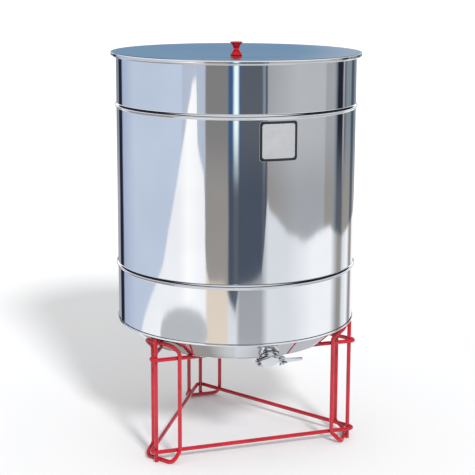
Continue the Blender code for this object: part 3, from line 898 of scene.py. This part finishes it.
def stud_shape(outlet, head_low, seat_low, low, high):
    """A stud with a round head and a cut thread.

    Above its head the radius is the stud's, less a saw wave of the height over the pitch minus
    the share of a turn, which makes a helix. The tip is rounded off.
    """
    steps = 48
    around = np.linspace(0, FULL_TURN, steps, endpoint=False)[:, None]
    level = np.linspace(low, high - 0.8 * MM, 90)[None, :]
    wave = np.abs(2 * ((level / outlet.thread_pitch - around / FULL_TURN) % 1) - 1)
    fade = np.clip((level - low) / (1 * MM), 0, 1) * np.clip((high - level) / (2 * MM), 0, 1)
    radius = outlet.stud_radius - 0.55 * MM * wave * fade
    head = rounded([(0, head_low), (7 * MM, head_low), (7 * MM, seat_low),
                    (outlet.stud_radius, seat_low)], [0, 1.5 * MM, 0.4 * MM, 0], False)
    tip = np.array([[outlet.stud_radius - 0.9 * MM, high - 0.2 * MM],
                    [outlet.stud_radius - 1.6 * MM, high]])
    radii = np.concatenate([np.repeat(head[None, 1:, 0], steps, 0), radius,
                            np.repeat(tip[None, :, 0], steps, 0)], axis=1)
    levels = np.concatenate([head[1:, 1], level[0], tip[:, 1]])[None, :]
    points = np.stack(np.broadcast_arrays(radii * np.cos(around), radii * np.sin(around), levels),
                      axis=-1)
    return patch(points, wrap_rows=True, first_pole=(0, 0, head_low), last_pole=(0, 0, high))


def wing_nut_shape(bore, low):
    """A wing nut: a turned hub and two wings, each a flat section carried up and outward."""
    hub_corners = [(bore, low), (7.5 * MM, low), (7.5 * MM, low + 3 * MM), (6.2 * MM, low + 9 * MM),
                   (bore, low + 9 * MM)]
    hub = turned(rounded(hub_corners, [0, 0.8 * MM, 1.5 * MM, 1.2 * MM, 0], True, 5), 48)
    share = np.linspace(0, 1, 18)
    wings = []
    for way in (1, -1):
        path = np.column_stack([way * (5.2 + 9.4 * share) * MM, np.zeros(18),
                                low + (4.6 + 6.6 * share ** 1.6) * MM])
        wide = 3.9 * MM * (1 - share ** 5) ** 0.5 * (0.82 + 0.3 * np.sin(math.pi * share))
        thick = 1.5 * MM * (1 - 0.25 * share) * (1 - share ** 8) ** 0.5
        wings.append(carried(path, np.maximum(wide, 0.02 * MM), np.maximum(thick, 0.02 * MM),
                             (0, 1, 0), sides=20))
    return joined(hub, *wings)


def cone_weld_shape(outlet):
    """The weld where the pipe leaves the cone: a bead carried round the line where they meet.

    The line is found on each of the pipe's straight lines by halving the interval in which
    the radius less the cone's radius at that height changes sign.
    """
    place = np.array(outlet_place())
    around = np.linspace(0, FULL_TURN, 96, endpoint=False)
    ring = np.column_stack([np.cos(around), np.sin(around)]) * (outlet.pipe_radius + 0.6 * MM)
    slope = (SHELL_RADIUS - CONE_FOOT_RADIUS) / (SHELL_FOOT - CONE_FOOT)
    low = np.full(96, -20 * MM)
    high = np.full(96, 20 * MM)
    for _ in range(30):
        middle = (low + high) / 2
        world = np.column_stack([ring, middle]) @ place[:3, :3].T + place[:3, 3]
        beyond = np.linalg.norm(world[:, :2], axis=1) > (
            SHELL_RADIUS - (SHELL_FOOT - world[:, 2]) * slope)
        high = np.where(beyond, middle, high)
        low = np.where(beyond, low, middle)
    wave = 1 + 0.12 * np.sin(around * 31)
    path = np.column_stack([ring, middle + 0.4 * MM])
    return carried(path, 1.9 * MM * wave, 1.5 * MM * wave, (0, 0, 1), closed=True, sides=12)


def add_blade(steel):
    """The gate's blade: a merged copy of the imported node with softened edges."""
    source = bpy.data.objects[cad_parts["gate_blade"].name]
    mesh = source.data.copy()
    mesh.name = "blade"
    count = len(mesh.vertices)
    points = np.empty(count * 3)
    mesh.vertices.foreach_get("co", points)
    keys, back = np.unique(np.round(points.reshape(-1, 3) * 1e6).astype(np.int64), axis=0,
                           return_inverse=True)
    corners = np.empty(len(mesh.loops), dtype=np.int32)
    mesh.loops.foreach_get("vertex_index", corners)
    triangles = back.reshape(-1)[corners].reshape(-1, 3)
    bpy.data.meshes.remove(mesh)
    blade = add_piece("blade", (keys * 1e-6, np.empty((0, 4), dtype=int), triangles), steel,
                      "gate", ("gate_blade",), 30)
    bevel = blade.modifiers.new("edges", "BEVEL")
    bevel.width = 0.9 * MM
    bevel.segments = 3
    bevel.limit_method = "ANGLE"
    bevel.angle_limit = math.radians(40)
    return blade


# Label


def label_shape(label, inset_from, inset_to, low, high, shell_radius, top):
    """A rounded square between two insets, wrapped on the wall.

    Flat points are wrapped by turning each distance to the side into an azimuth, distance over
    radius, and the lift is added to the radius.
    """
    half = label.side / 2

    def loop(inset):
        size = half - inset
        bend = max(label.corner - inset, 1.5 * MM)
        corners = [(size, -size), (size, size), (-size, size), (-size, -size)]
        line = rounded([(*corner, 0) for corner in corners], [bend] * 4, True, 10)[:, :2]
        chunks = []
        for start, end in zip(line, np.roll(line, -1, axis=0)):
            parts = max(1, int(np.linalg.norm(end - start) / (label.side / 14)))
            share = np.linspace(0, 1, parts, endpoint=False)[:, None]
            chunks.append(start + (end - start) * share)
        return np.concatenate(chunks)

    outer = loop(inset_from)
    base = outer / (half - inset_from)
    if inset_to is None:
        scales = np.linspace(0.06, 1, 14) * (half - inset_from)
        flats = [base * scale for scale in scales]
        lifts = [high] * len(flats)
        flats = flats[::-1]
        flats = [outer] + flats
        lifts = [low] + lifts
    else:
        inner = outer * (half - inset_to) / (half - inset_from)
        flats = [inner, outer, outer, inner]
        lifts = [low, low, high, high]
    middle = top - half
    columns = []
    for flat, lift in zip(flats, lifts):
        columns.append(on_circle(shell_radius + lift, label.turn + flat[:, 0] / shell_radius,
                                 middle + flat[:, 1]))
    points = np.stack(columns, axis=1)
    if inset_to is None:
        pole = on_circle(shell_radius + high, label.turn, middle)
        return patch(points, wrap_rows=True, last_pole=pole)
    return patch(points, wrap_rows=True, wrap_columns=True)


# Stand


def leg_point(azimuth, radius, along, height):
    """A point on a leg: outward radius, distance along the tangent, height."""
    outward = np.array([math.sin(azimuth), -math.cos(azimuth), 0.0])
    tangent = np.array([math.cos(azimuth), math.sin(azimuth), 0.0])
    return outward * radius + tangent * along + np.array([0, 0, height])


def loop_shape(stand, azimuth):
    """One leg's closed loop of bar, its ends kicked outward."""
    half = stand.loop_width / 2
    kicked = stand.loop_radius + stand.loop_kick
    foot = stand.bar + stand.kick_rise
    head = stand.loop_top - stand.kick_rise
    corners = [(-half, kicked, stand.bar), (half, kicked, stand.bar),
               (half, stand.loop_radius, foot), (half, stand.loop_radius, head),
               (half, kicked, stand.loop_top), (-half, kicked, stand.loop_top),
               (-half, stand.loop_radius, head), (-half, stand.loop_radius, foot)]
    points = [leg_point(azimuth, radius, along, height) for along, radius, height in corners]
    bends = [stand.loop_corner, stand.loop_corner, stand.kick_bend, stand.kick_bend] * 2
    return carried(rounded(points, bends, True, 12), stand.bar, stand.bar,
                   leg_point(azimuth, 1, 0, 0), closed=True)


def ring_path(stand, height):
    """A triangle of bar that lies inside the uprights and bends round the posts."""
    clear = 2 * stand.bar + TOUCH_GAP
    post = stand.loop_radius + stand.loop_kick + clear
    side = (stand.loop_radius * math.cos(math.radians(60))
            + stand.loop_width / 2 * math.sin(math.radians(60)) - clear)
    corners = [leg_point(math.radians(azimuth) + STAND_TURN, 2 * side, 0, height)
               for azimuth in LEG_AZIMUTHS.values()]
    return rounded(corners, [2 * side - (post + clear)] * 3, True, 20)


def welds_shape(stand, azimuth, upper_ring):
    """The weld beads of one leg, where bars touch."""
    bar = stand.bar
    kicked = stand.loop_radius + stand.loop_kick
    post = kicked + 2 * bar
    half = stand.loop_width / 2
    beads = []
    size = stand.weld
    spots = []
    for height in (stand.ring_low, upper_ring):
        for way in (-1, 1):
            spots.append((post + bar, way * bar * 0.8, height))
            spots.append((stand.loop_radius - bar * 0.55, way * (half - bar * 0.9), height))
    for height in (bar + 1.0 * MM, stand.loop_top):
        for way in (-1, 1):
            spots.append((kicked + bar, way * bar * 0.75, height))
    for number, (radius, along, height) in enumerate(spots):
        centre = leg_point(azimuth, radius, along, height)
        reach = (size * 0.8, size * 0.8, size * (0.85 + 0.2 * math.sin(number * 2.3)))
        if height < 3 * bar and radius < post:
            reach = (size * 0.8, size * 0.8, size * 0.8)
        beads.append(lump(centre, reach, 0.12, number))
    return joined(*beads)


# Operators


class TANK_OT_vessel(bpy.types.Operator):
    """Build the shell, its rim and seam, and the cone."""
    bl_idname = "tank.vessel"
    bl_label = "Vessel"

    def execute(self, context):
        sizes = context.scene.tank_vessel
        steel = wall_steel(context.scene.tank_finishes)
        staves = [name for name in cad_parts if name.startswith("shell_stave_")]
        shape, lined = shell_shape(sizes)
        shell = add_piece("tank_shell", shape, steel, replaces=staves)
        shell.data.materials.append(lining_steel(context.scene.tank_finishes))
        shell.data.polygons.foreach_set("material_index", lined.astype(np.int32))
        add_piece("shell_rim", rim_shape(sizes), steel,
                  replaces=("rolled_rim",))
        add_piece("shell_seam", seam_shape(sizes), steel,
                  replaces=("bottom_seam",))
        add_cone(sizes, context.scene.tank_outlet, steel)
        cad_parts["bottom_plate"].material_slots[0].material = steel
        return {"FINISHED"}


class TANK_OT_lid(bpy.types.Operator):
    """Build the loose lid and its knob."""
    bl_idname = "tank.lid"
    bl_label = "Lid"

    def execute(self, context):
        sizes = context.scene.tank_vessel
        finishes = context.scene.tank_finishes
        add_piece("lid", lid_shape(sizes), lid_steel(finishes), "lid",
                  ("lid_panel", "lid_skirt"))
        add_piece("knob", knob_shape(sizes), red_plastic(finishes), "lid",
                  ("lid_knob",))
        return {"FINISHED"}


class TANK_OT_outlet(bpy.types.Operator):
    """Build the outlet pipe, its union, the gate and the fasteners."""
    bl_idname = "tank.outlet"
    bl_label = "Outlet"

    def execute(self, context):
        outlet = context.scene.tank_outlet
        finishes = context.scene.tank_finishes
        steel = fitting_steel(finishes)
        place = outlet_place()
        bore = outlet.bore_radius
        pieces = {
            "pipe": (tube_shape(bore, outlet.pipe_radius, -4 * MM, 22.2 * MM, 0.4 * MM), steel,
                     "outlet_pipe"),
            "nut": (nut_shape(outlet, 5 * MM, 22 * MM), steel, "union_nut"),
            "gasket": (tube_shape(bore, 34 * MM, 22.5 * MM, 25.2 * MM, 1.2 * MM),
                       black_rubber(finishes), "outlet_gasket"),
            "collar": (turned(collar_profile(bore), SMALL_STEPS), steel, "gate_collar"),
            "seat": (slab(seat_outline(35 * MM, 12 * MM, outlet.stud_reach), bore, 36.3 * MM,
                          43.3 * MM, 1.2 * MM), steel, "gate_seat"),
        }
        for name, (shape, material, node) in pieces.items():
            add_piece(f"outlet_{name}_cover", placed(shape, place), material,
                      replaces=(node,))
        add_piece("outlet_weld", placed(cone_weld_shape(outlet), place), steel)
        for side, way in (("pivot", -1), ("clamp", 1)):
            spot = place @ Matrix.Translation((way * outlet.stud_reach, 0, 0))
            stud = stud_shape(outlet, 30 * MM, 36 * MM, 36 * MM, 62 * MM)
            add_piece(f"{side}_stud_cover", placed(stud, spot), steel,
                      replaces=(f"{side}_stud",))
            nut_turn = Matrix.Rotation(math.radians(35 * way), 4, "Z")
            nut = wing_nut_shape(outlet.stud_radius + 0.4 * MM, 48.8 * MM)
            add_piece(f"{side}_wing_nut_cover", placed(nut, spot @ nut_turn), steel,
                      replaces=(f"{side}_wing_nut",))
        add_blade(steel)
        return {"FINISHED"}


def collar_profile(bore):
    """The collar's section: a plain barrel with a shallow waist and rounded ends."""
    corners = [(bore, 25.5 * MM), (33 * MM, 25.5 * MM), (33 * MM, 28.2 * MM), (31.2 * MM, 29.4 * MM),
               (31.2 * MM, 34 * MM), (32.6 * MM, 36 * MM), (bore, 36 * MM)]
    bends = [0, 0.8 * MM, 0.7 * MM, 1.0 * MM, 1.2 * MM, 0.3 * MM, 0]
    return rounded(corners, bends, True, 4)


class TANK_OT_label(bpy.types.Operator):
    """Build the blank label with its dark border."""
    bl_idname = "tank.label"
    bl_label = "Label"

    def execute(self, context):
        label = context.scene.tank_label
        finishes = context.scene.tank_finishes
        radius = context.scene.tank_vessel.shell_radius
        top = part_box("label_plate")[1][2]
        film = label_shape(label, 0.0, None, 0.1 * MM, TOUCH_GAP + 0.3 * MM, radius, top)
        add_piece("label_field", film, label_foil(finishes),
                  replaces=("label_plate",))
        border = label_shape(label, label.margin, label.margin + label.border, 0.4 * MM,
                             TOUCH_GAP + label.thickness, radius, top)
        add_piece("label_border", border, label_ink(finishes))
        return {"FINISHED"}


class TANK_OT_stand(bpy.types.Operator):
    """Build the legs, the rings and their welds."""
    bl_idname = "tank.stand"
    bl_label = "Stand"

    def execute(self, context):
        stand = context.scene.tank_stand
        paint = red_paint(context.scene.tank_finishes)
        low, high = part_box("stand_ring_upper")
        upper_ring = (low[2] + high[2]) / 2
        for name, degrees in LEG_AZIMUTHS.items():
            azimuth = math.radians(degrees) + STAND_TURN
            add_piece(f"loop_{name}", loop_shape(stand, azimuth), paint,
                      replaces=(f"leg_loop_{name}",))
            post = stand.loop_radius + stand.loop_kick + 2 * stand.bar + TOUCH_GAP
            ends = [leg_point(azimuth, post, 0, height)
                    for height in (0.0, 0.1, 0.3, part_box(f"leg_post_{name}")[1][2])]
            path, radii = with_round_ends(ends, stand.bar, 1.6 * MM)
            add_piece(f"post_{name}", carried(path, radii, radii, leg_point(azimuth, 1, 0, 0)),
                      paint, replaces=(f"leg_post_{name}",))
            add_piece(f"welds_{name}", welds_shape(stand, azimuth, upper_ring), paint)
        for name, height in (("lower", stand.ring_low), ("upper", upper_ring)):
            add_piece(f"ring_{name}", carried(ring_path(stand, height), stand.bar, stand.bar,
                                              (0, 0, 1), closed=True),
                      paint, replaces=(f"stand_ring_{name}",))
        return {"FINISHED"}


# Stage

CAMERA_PLACE = (-1.30340, -4.37497, 1.71000)
CAMERA_AZIMUTH = math.radians(-16.59)
CAMERA_YAW = math.radians(-0.08)
CAMERA_PITCH = math.radians(10.82)
CAMERA_ROLL = math.radians(0.25)
FOCAL_PIXELS = 1300
PICTURE_PIXELS = 475
PICTURE_CENTRE = 207

STEEL_BRIGHTNESS = 0.87


def room_tone(red, green, blue):
    """A tone of the room that shows as this screen colour in the polished wall."""
    linear = tone(red, green, blue)
    return (*(part / STEEL_BRIGHTNESS for part in linear[:3]), 1.0)


WHITE = room_tone(255, 255, 255)
BRIGHT = room_tone(240, 242, 246)
GLARE = room_tone(235, 252, 255)
SILVER = room_tone(215, 219, 225)
PALE_BLUE = room_tone(190, 202, 221)
DEEP_BLUE = room_tone(163, 176, 202)
LAVENDER = room_tone(178, 189, 206)
BEIGE = room_tone(220, 208, 192)
WARM_PALE = room_tone(148, 145, 142)
WARM_GREY = room_tone(126, 125, 125)
LIGHT_GREY = room_tone(180, 183, 187)
MID_GREY = room_tone(160, 163, 168)
GREY_GREEN = room_tone(128, 140, 148)
SLATE = room_tone(88, 94, 103)
STEEL_BLUE = room_tone(72, 81, 96)
NAVY = room_tone(56, 90, 130)
DARK = room_tone(34, 36, 50)
SKY_SLATE = room_tone(114, 143, 170)
SKY_PALE = room_tone(150, 166, 184)

# What the wall mirrors near its top: azimuth from the camera in degrees, tone
TOP_LEFT = ((-180, MID_GREY), (-166, GREY_GREEN), (-152.5, GREY_GREEN), (-150.5, DARK),
            (-141, DARK), (-138, DEEP_BLUE), (-112, PALE_BLUE), (-53, PALE_BLUE),
            (-51, LAVENDER), (-29, LAVENDER), (-27.5, WARM_GREY), (-7.5, WARM_GREY),
            (-6, NAVY), (-3, NAVY), (-1, GLARE), (0, GLARE))
TOP_RIGHT = ((0, GLARE), (1.5, GLARE), (3.2, NAVY), (5, SLATE), (24, SLATE), (25, GREY_GREEN),
             (27, GREY_GREEN), (27.5, STEEL_BLUE), (28.5, STEEL_BLUE), (29.5, MID_GREY),
             (60, LIGHT_GREY), (92, LIGHT_GREY), (95, MID_GREY), (106, MID_GREY),
             (109, GREY_GREEN), (113, DARK), (121, DARK), (124, LIGHT_GREY), (126, SLATE),
             (131, GREY_GREEN), (141, GREY_GREEN), (144.5, STEEL_BLUE), (151, STEEL_BLUE),
             (156, GREY_GREEN), (166, GREY_GREEN), (180, MID_GREY))

# What the wall mirrors at half height
MIDDLE_LEFT = ((-180, SILVER), (-166, MID_GREY), (-152.5, MID_GREY), (-150.5, DARK),
               (-141, DARK), (-138, DEEP_BLUE), (-112, PALE_BLUE), (-53, PALE_BLUE),
               (-51, LAVENDER), (-29, LAVENDER), (-27.5, WARM_PALE), (-7.5, WARM_PALE),
               (-6, STEEL_BLUE), (-3, STEEL_BLUE), (-1, SLATE), (0, SLATE))
MIDDLE_RIGHT = ((0, SLATE), (1.5, SLATE), (3.2, STEEL_BLUE), (24, STEEL_BLUE), (25, SLATE),
                (27, SLATE), (27.5, STEEL_BLUE), (28.5, STEEL_BLUE), (29.5, WARM_PALE),
                (60, MID_GREY), (92, MID_GREY), (95, WARM_PALE), (106, WARM_PALE),
                (109, GREY_GREEN), (113, SLATE), (121, SLATE), (126, WARM_PALE),
                (141, WARM_PALE), (144.5, SLATE), (151, SLATE), (156, MID_GREY),
                (166, MID_GREY), (180, SILVER))

# What the wall mirrors below the edge
LOWER_LEFT = ((-180, SILVER), (-153, SILVER), (-150, STEEL_BLUE), (-141, STEEL_BLUE),
              (-137, DEEP_BLUE), (-110, DEEP_BLUE), (-103, BRIGHT), (-56, BRIGHT), (-46, WHITE),
              (-29, BRIGHT), (-26, BEIGE), (-8, BEIGE), (-6, SILVER), (0, SILVER))
LOWER_RIGHT = ((0, SILVER), (4, MID_GREY), (24, MID_GREY), (31, SILVER), (50, SILVER),
               (80, BRIGHT), (104, BRIGHT), (112, LIGHT_GREY), (116, WARM_PALE),
               (122, WARM_PALE), (127, SILVER), (138, BRIGHT), (144.5, WARM_PALE),
               (150.5, WARM_PALE), (156, BRIGHT), (168, BRIGHT), (180, SILVER))

# Elevation in degrees where the upper tones give way to the lower ones
EDGE_LEFT = ((-180, -19.0), (-118, -18.0), (-100, -15.8), (-74.5, -13.5), (-57, -9.6),
             (-41, -5.4), (-37, -5.2), (-36, -8.0), (-29, -9.5), (-28, -13.4), (-24, -14.1),
             (-10, -14.2), (-6, -14.8), (0, -15.5))
EDGE_RIGHT = ((0, -15.5), (3, -14.4), (14, -14.3), (24, -13.8), (27, -12.5), (29, -10.4),
              (32, -10.9), (50, -11.9), (69, -12.3), (88, -11.9), (103, -11.6), (110, -11.8),
              (125, -12.0), (160, -11.0), (180, -9.0))
EDGE_LOWEST = -20.0
EDGE_BLUR = 0.12

# A round grey patch that the wall mirrors low on the left: middle and half widths in degrees
GREY_PATCH_TURN, GREY_PATCH_RISE = -52.0, -16.4
GREY_PATCH_WIDE, GREY_PATCH_HIGH = 26.0, 1.2


def band_ramp(nodes, turn, stops, low, high):
    """A colour ramp over azimuths in degrees."""
    ramp = nodes.add("ShaderNodeValToRGB")
    elements = ramp.color_ramp.elements
    for index, (degrees, colour_there) in enumerate(stops):
        position = (degrees - low) / (high - low)
        element = elements[index] if index < 2 else elements.new(position)
        element.position = position
        element.color = colour_there
    nodes.feed(ramp.inputs[0], nodes.span(turn, low, high, smooth=False))
    return ramp.outputs[0]


def two_ramps(nodes, turn, right, left_stops, right_stops):
    """One ramp for each half turn."""
    return nodes.mix(right, band_ramp(nodes, turn, left_stops, -180, 0),
                     band_ramp(nodes, turn, right_stops, 0, 180))


def edge_stops(stops):
    """Edge elevations as grey values from 0 at the lowest to 1 at level."""
    greys = [(degrees, 1 - height / EDGE_LOWEST) for degrees, height in stops]
    return [(degrees, (grey, grey, grey, 1.0)) for degrees, grey in greys]


def build_world(scene, stage):
    """The room that polished steel mirrors, by direction, and plain white for all else.

    The direction's azimuth and elevation pick upper or lower tones on either side of an edge
    whose elevation changes with the azimuth. The upper tones fade into a second set on the way
    down. Above level there is a pale strip, then a dark ceiling with a light middle, and slate
    behind the tank.
    """
    world = bpy.data.worlds.new("studio_room")
    scene.world = world
    world.use_nodes = True
    world.node_tree.nodes.clear()
    nodes = Nodes(world.node_tree)
    output = nodes.add("ShaderNodeOutputWorld")
    background = nodes.add("ShaderNodeBackground")
    nodes.feed(output.inputs["Surface"], background.outputs[0])
    direction = nodes.add("ShaderNodeTexCoord").outputs["Generated"]
    parts = nodes.add("ShaderNodeSeparateXYZ")
    nodes.feed(parts.inputs[0], nodes.scaled(direction, (1, 1, 1), (0, 0, -CAMERA_AZIMUTH)))
    behind = nodes.sum("MULTIPLY", parts.outputs["Y"], -1.0)
    turn = nodes.sum("DEGREES", nodes.sum("ARCTAN2", parts.outputs["X"], behind))
    rise = nodes.sum("DEGREES", nodes.sum("ARCSINE", parts.outputs["Z"]))
    right = nodes.sum("GREATER_THAN", turn, 0.0)
    top = two_ramps(nodes, turn, right, TOP_LEFT, TOP_RIGHT)
    middle = two_ramps(nodes, turn, right, MIDDLE_LEFT, MIDDLE_RIGHT)
    upper = nodes.mix(nodes.span(rise, -10.5, -6.9), middle, top)
    lower = two_ramps(nodes, turn, right, LOWER_LEFT, LOWER_RIGHT)
    # A round light grey patch in the lower tones, low on the left.
    across = nodes.sum("MULTIPLY_ADD", turn, 1 / GREY_PATCH_WIDE, -GREY_PATCH_TURN / GREY_PATCH_WIDE)
    down = nodes.sum("MULTIPLY_ADD", rise, 1 / GREY_PATCH_HIGH, -GREY_PATCH_RISE / GREY_PATCH_HIGH)
    apart = nodes.sum("MULTIPLY_ADD", across, across, nodes.sum("MULTIPLY", down, down))
    lower = nodes.mix(nodes.span(apart, 1.08, 0.92), lower, LIGHT_GREY)
    lower = nodes.mix(nodes.span(rise, -16.5, -19.0, 0.0, 0.6), lower, BRIGHT)
    edge = two_ramps(nodes, turn, right, edge_stops(EDGE_LEFT), edge_stops(EDGE_RIGHT))
    level = nodes.sum("MULTIPLY_ADD", edge, -EDGE_LOWEST, EDGE_LOWEST)
    above = nodes.sum("SUBTRACT", rise, level)
    ground = nodes.mix(nodes.span(above, -EDGE_BLUR, EDGE_BLUR), lower, upper)
    # Painted shade: steeply down, the room takes the tones of the shaded floor near the tank as the
    # cone mirrors it. It is darker on the left half and lighter below -56 degrees.
    mirrored_floor_shade = nodes.mix(right, WARM_PALE, LIGHT_GREY)
    mirrored_floor_shade = nodes.mix(nodes.span(rise, -56, -62), mirrored_floor_shade, SILVER)
    ground = nodes.mix(nodes.span(rise, -22, -30), ground, mirrored_floor_shade)
    high_sky = nodes.mix(nodes.span(rise, 9, 14), WHITE, DARK)
    high_sky = nodes.mix(nodes.span(rise, 50, 65), high_sky, SILVER)
    back = nodes.span(nodes.sum("ABSOLUTE", turn), 160, 172)
    back = nodes.sum("MULTIPLY", back, nodes.span(rise, 55, 25))
    pale = nodes.sum("MULTIPLY", right, nodes.span(turn, 178, 174.5))
    sky = nodes.mix(back, high_sky, nodes.mix(pale, SKY_SLATE, SKY_PALE))
    room = nodes.mix(nodes.span(rise, -3.5, 1.0), ground, sky)
    path = nodes.add("ShaderNodeLightPath")
    plain = tuple([stage.fill_power] * 3) + (1.0,)
    lit = nodes.mix(path.outputs["Is Glossy Ray"], plain, room)
    nodes.feed(background.inputs["Color"], nodes.mix(path.outputs["Is Camera Ray"], lit, WHITE))
    return world


def camera_axes():
    """The camera's right, up and forward directions."""
    heading = CAMERA_AZIMUTH + CAMERA_YAW
    forward = np.array([-math.sin(heading) * math.cos(CAMERA_PITCH),
                        math.cos(heading) * math.cos(CAMERA_PITCH), -math.sin(CAMERA_PITCH)])
    right = np.cross(forward, (0, 0, 1))
    right /= np.linalg.norm(right)
    up = np.cross(right, forward)
    swing_right = right * math.cos(CAMERA_ROLL) + up * math.sin(CAMERA_ROLL)
    swing_up = up * math.cos(CAMERA_ROLL) - right * math.sin(CAMERA_ROLL)
    return swing_right, swing_up, forward


class TANK_OT_stage(bpy.types.Operator):
    """Build the floor, the lights, the room and the camera."""
    bl_idname = "tank.stage"
    bl_label = "Stage"

    def execute(self, context):
        scene = context.scene
        stage = scene.tank_stage
        shadow_turn = CAMERA_AZIMUTH + stage.key_turn
        away = np.array([-math.sin(shadow_turn), math.cos(shadow_turn), 0.0])

        material, nodes, shader = new_material("floor_pale", 0.0)
        cloud = nodes.noise(nodes.object_place(), 3.0, 2.0)
        nodes.feed(shader.inputs["Base Color"], nodes.mix(cloud, tone(231, 231, 232),
                                                          tone(229, 230, 231)))
        shader.inputs["Roughness"].default_value = 0.9
        shader.inputs["Specular IOR Level"].default_value = 0.1
        radius = stage.floor_radius
        rings = np.array([[radius, -2 * MM], [radius, 0.0], [radius * 0.5, 0.0], [0.0, 0.0]])
        disc = turned(np.vstack([[0.0, -2 * MM], rings]), 96)
        mesh = bpy.data.meshes.new("floor")
        faces = disc[1].tolist() + disc[2].tolist()
        mesh.from_pydata((disc[0] + away * 1.15).tolist(), [], faces)
        mesh.materials.append(material)
        floor = bpy.data.objects.new("floor", mesh)
        scene.collection.objects.link(floor)
        floor.visible_glossy = False

        key = bpy.data.lights.new("key", "SUN")
        key.energy = stage.key_power
        key.angle = stage.key_size
        key_object = bpy.data.objects.new("key", key)
        travel = away * math.cos(stage.key_height) - np.array([0, 0, math.sin(stage.key_height)])
        side = np.cross(travel, (0, 0, 1))
        side /= np.linalg.norm(side)
        frame_of_key = np.column_stack([side, np.cross(side, travel), -travel])
        key_object.matrix_world = Matrix(frame_of_key.tolist()).to_4x4()
        key_object.visible_glossy = False
        scene.collection.objects.link(key_object)

        build_world(scene, stage)

        camera = bpy.data.cameras.new("camera")
        camera.sensor_width = 36
        camera.lens = FOCAL_PIXELS / PICTURE_PIXELS * camera.sensor_width
        camera.shift_y = PICTURE_CENTRE / PICTURE_PIXELS - 0.5
        camera.clip_end = 50
        camera_object = bpy.data.objects.new("camera", camera)
        right, up, forward = camera_axes()
        turn = Matrix(np.column_stack([right, up, -forward]).tolist()).to_4x4()
        camera_object.matrix_world = Matrix.Translation(CAMERA_PLACE) @ turn
        scene.collection.objects.link(camera_object)
        scene.camera = camera_object
        scene.view_settings.view_transform = "Standard"
        return {"FINISHED"}


class TANK_PT_panel(bpy.types.Panel):
    """Buttons for the tank's pieces."""
    bl_idname = "TANK_PT_panel"
    bl_label = "Storage tank"
    bl_space_type = "VIEW_3D"
    bl_region_type = "UI"
    bl_category = "Tank"

    def draw(self, context):
        """One button for each operator."""
        for operator in OPERATORS:
            self.layout.operator(operator.bl_idname)


SETTINGS = {"tank_vessel": VesselSizes, "tank_outlet": OutletSizes, "tank_label": LabelSizes,
            "tank_stand": StandSizes, "tank_finishes": Finishes, "tank_stage": StageSettings}
OPERATORS = (TANK_OT_stage, TANK_OT_vessel, TANK_OT_lid, TANK_OT_outlet, TANK_OT_label,
             TANK_OT_stand)


def register():
    """Register the settings, operators and panel."""
    for name, settings in SETTINGS.items():
        bpy.utils.register_class(settings)
        setattr(bpy.types.Scene, name, bpy.props.PointerProperty(type=settings))
    for operator in OPERATORS:
        bpy.utils.register_class(operator)
    bpy.utils.register_class(TANK_PT_panel)


def unregister():
    """Take them away again."""
    bpy.utils.unregister_class(TANK_PT_panel)
    for operator in reversed(OPERATORS):
        bpy.utils.unregister_class(operator)
    for name, settings in SETTINGS.items():
        delattr(bpy.types.Scene, name)
        bpy.utils.unregister_class(settings)


def main():
    """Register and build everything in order."""
    register()
    bpy.ops.tank.stage()
    bpy.ops.tank.vessel()
    bpy.ops.tank.lid()
    bpy.ops.tank.outlet()
    bpy.ops.tank.label()
    bpy.ops.tank.stand()


if __name__ == "__main__":
    main()
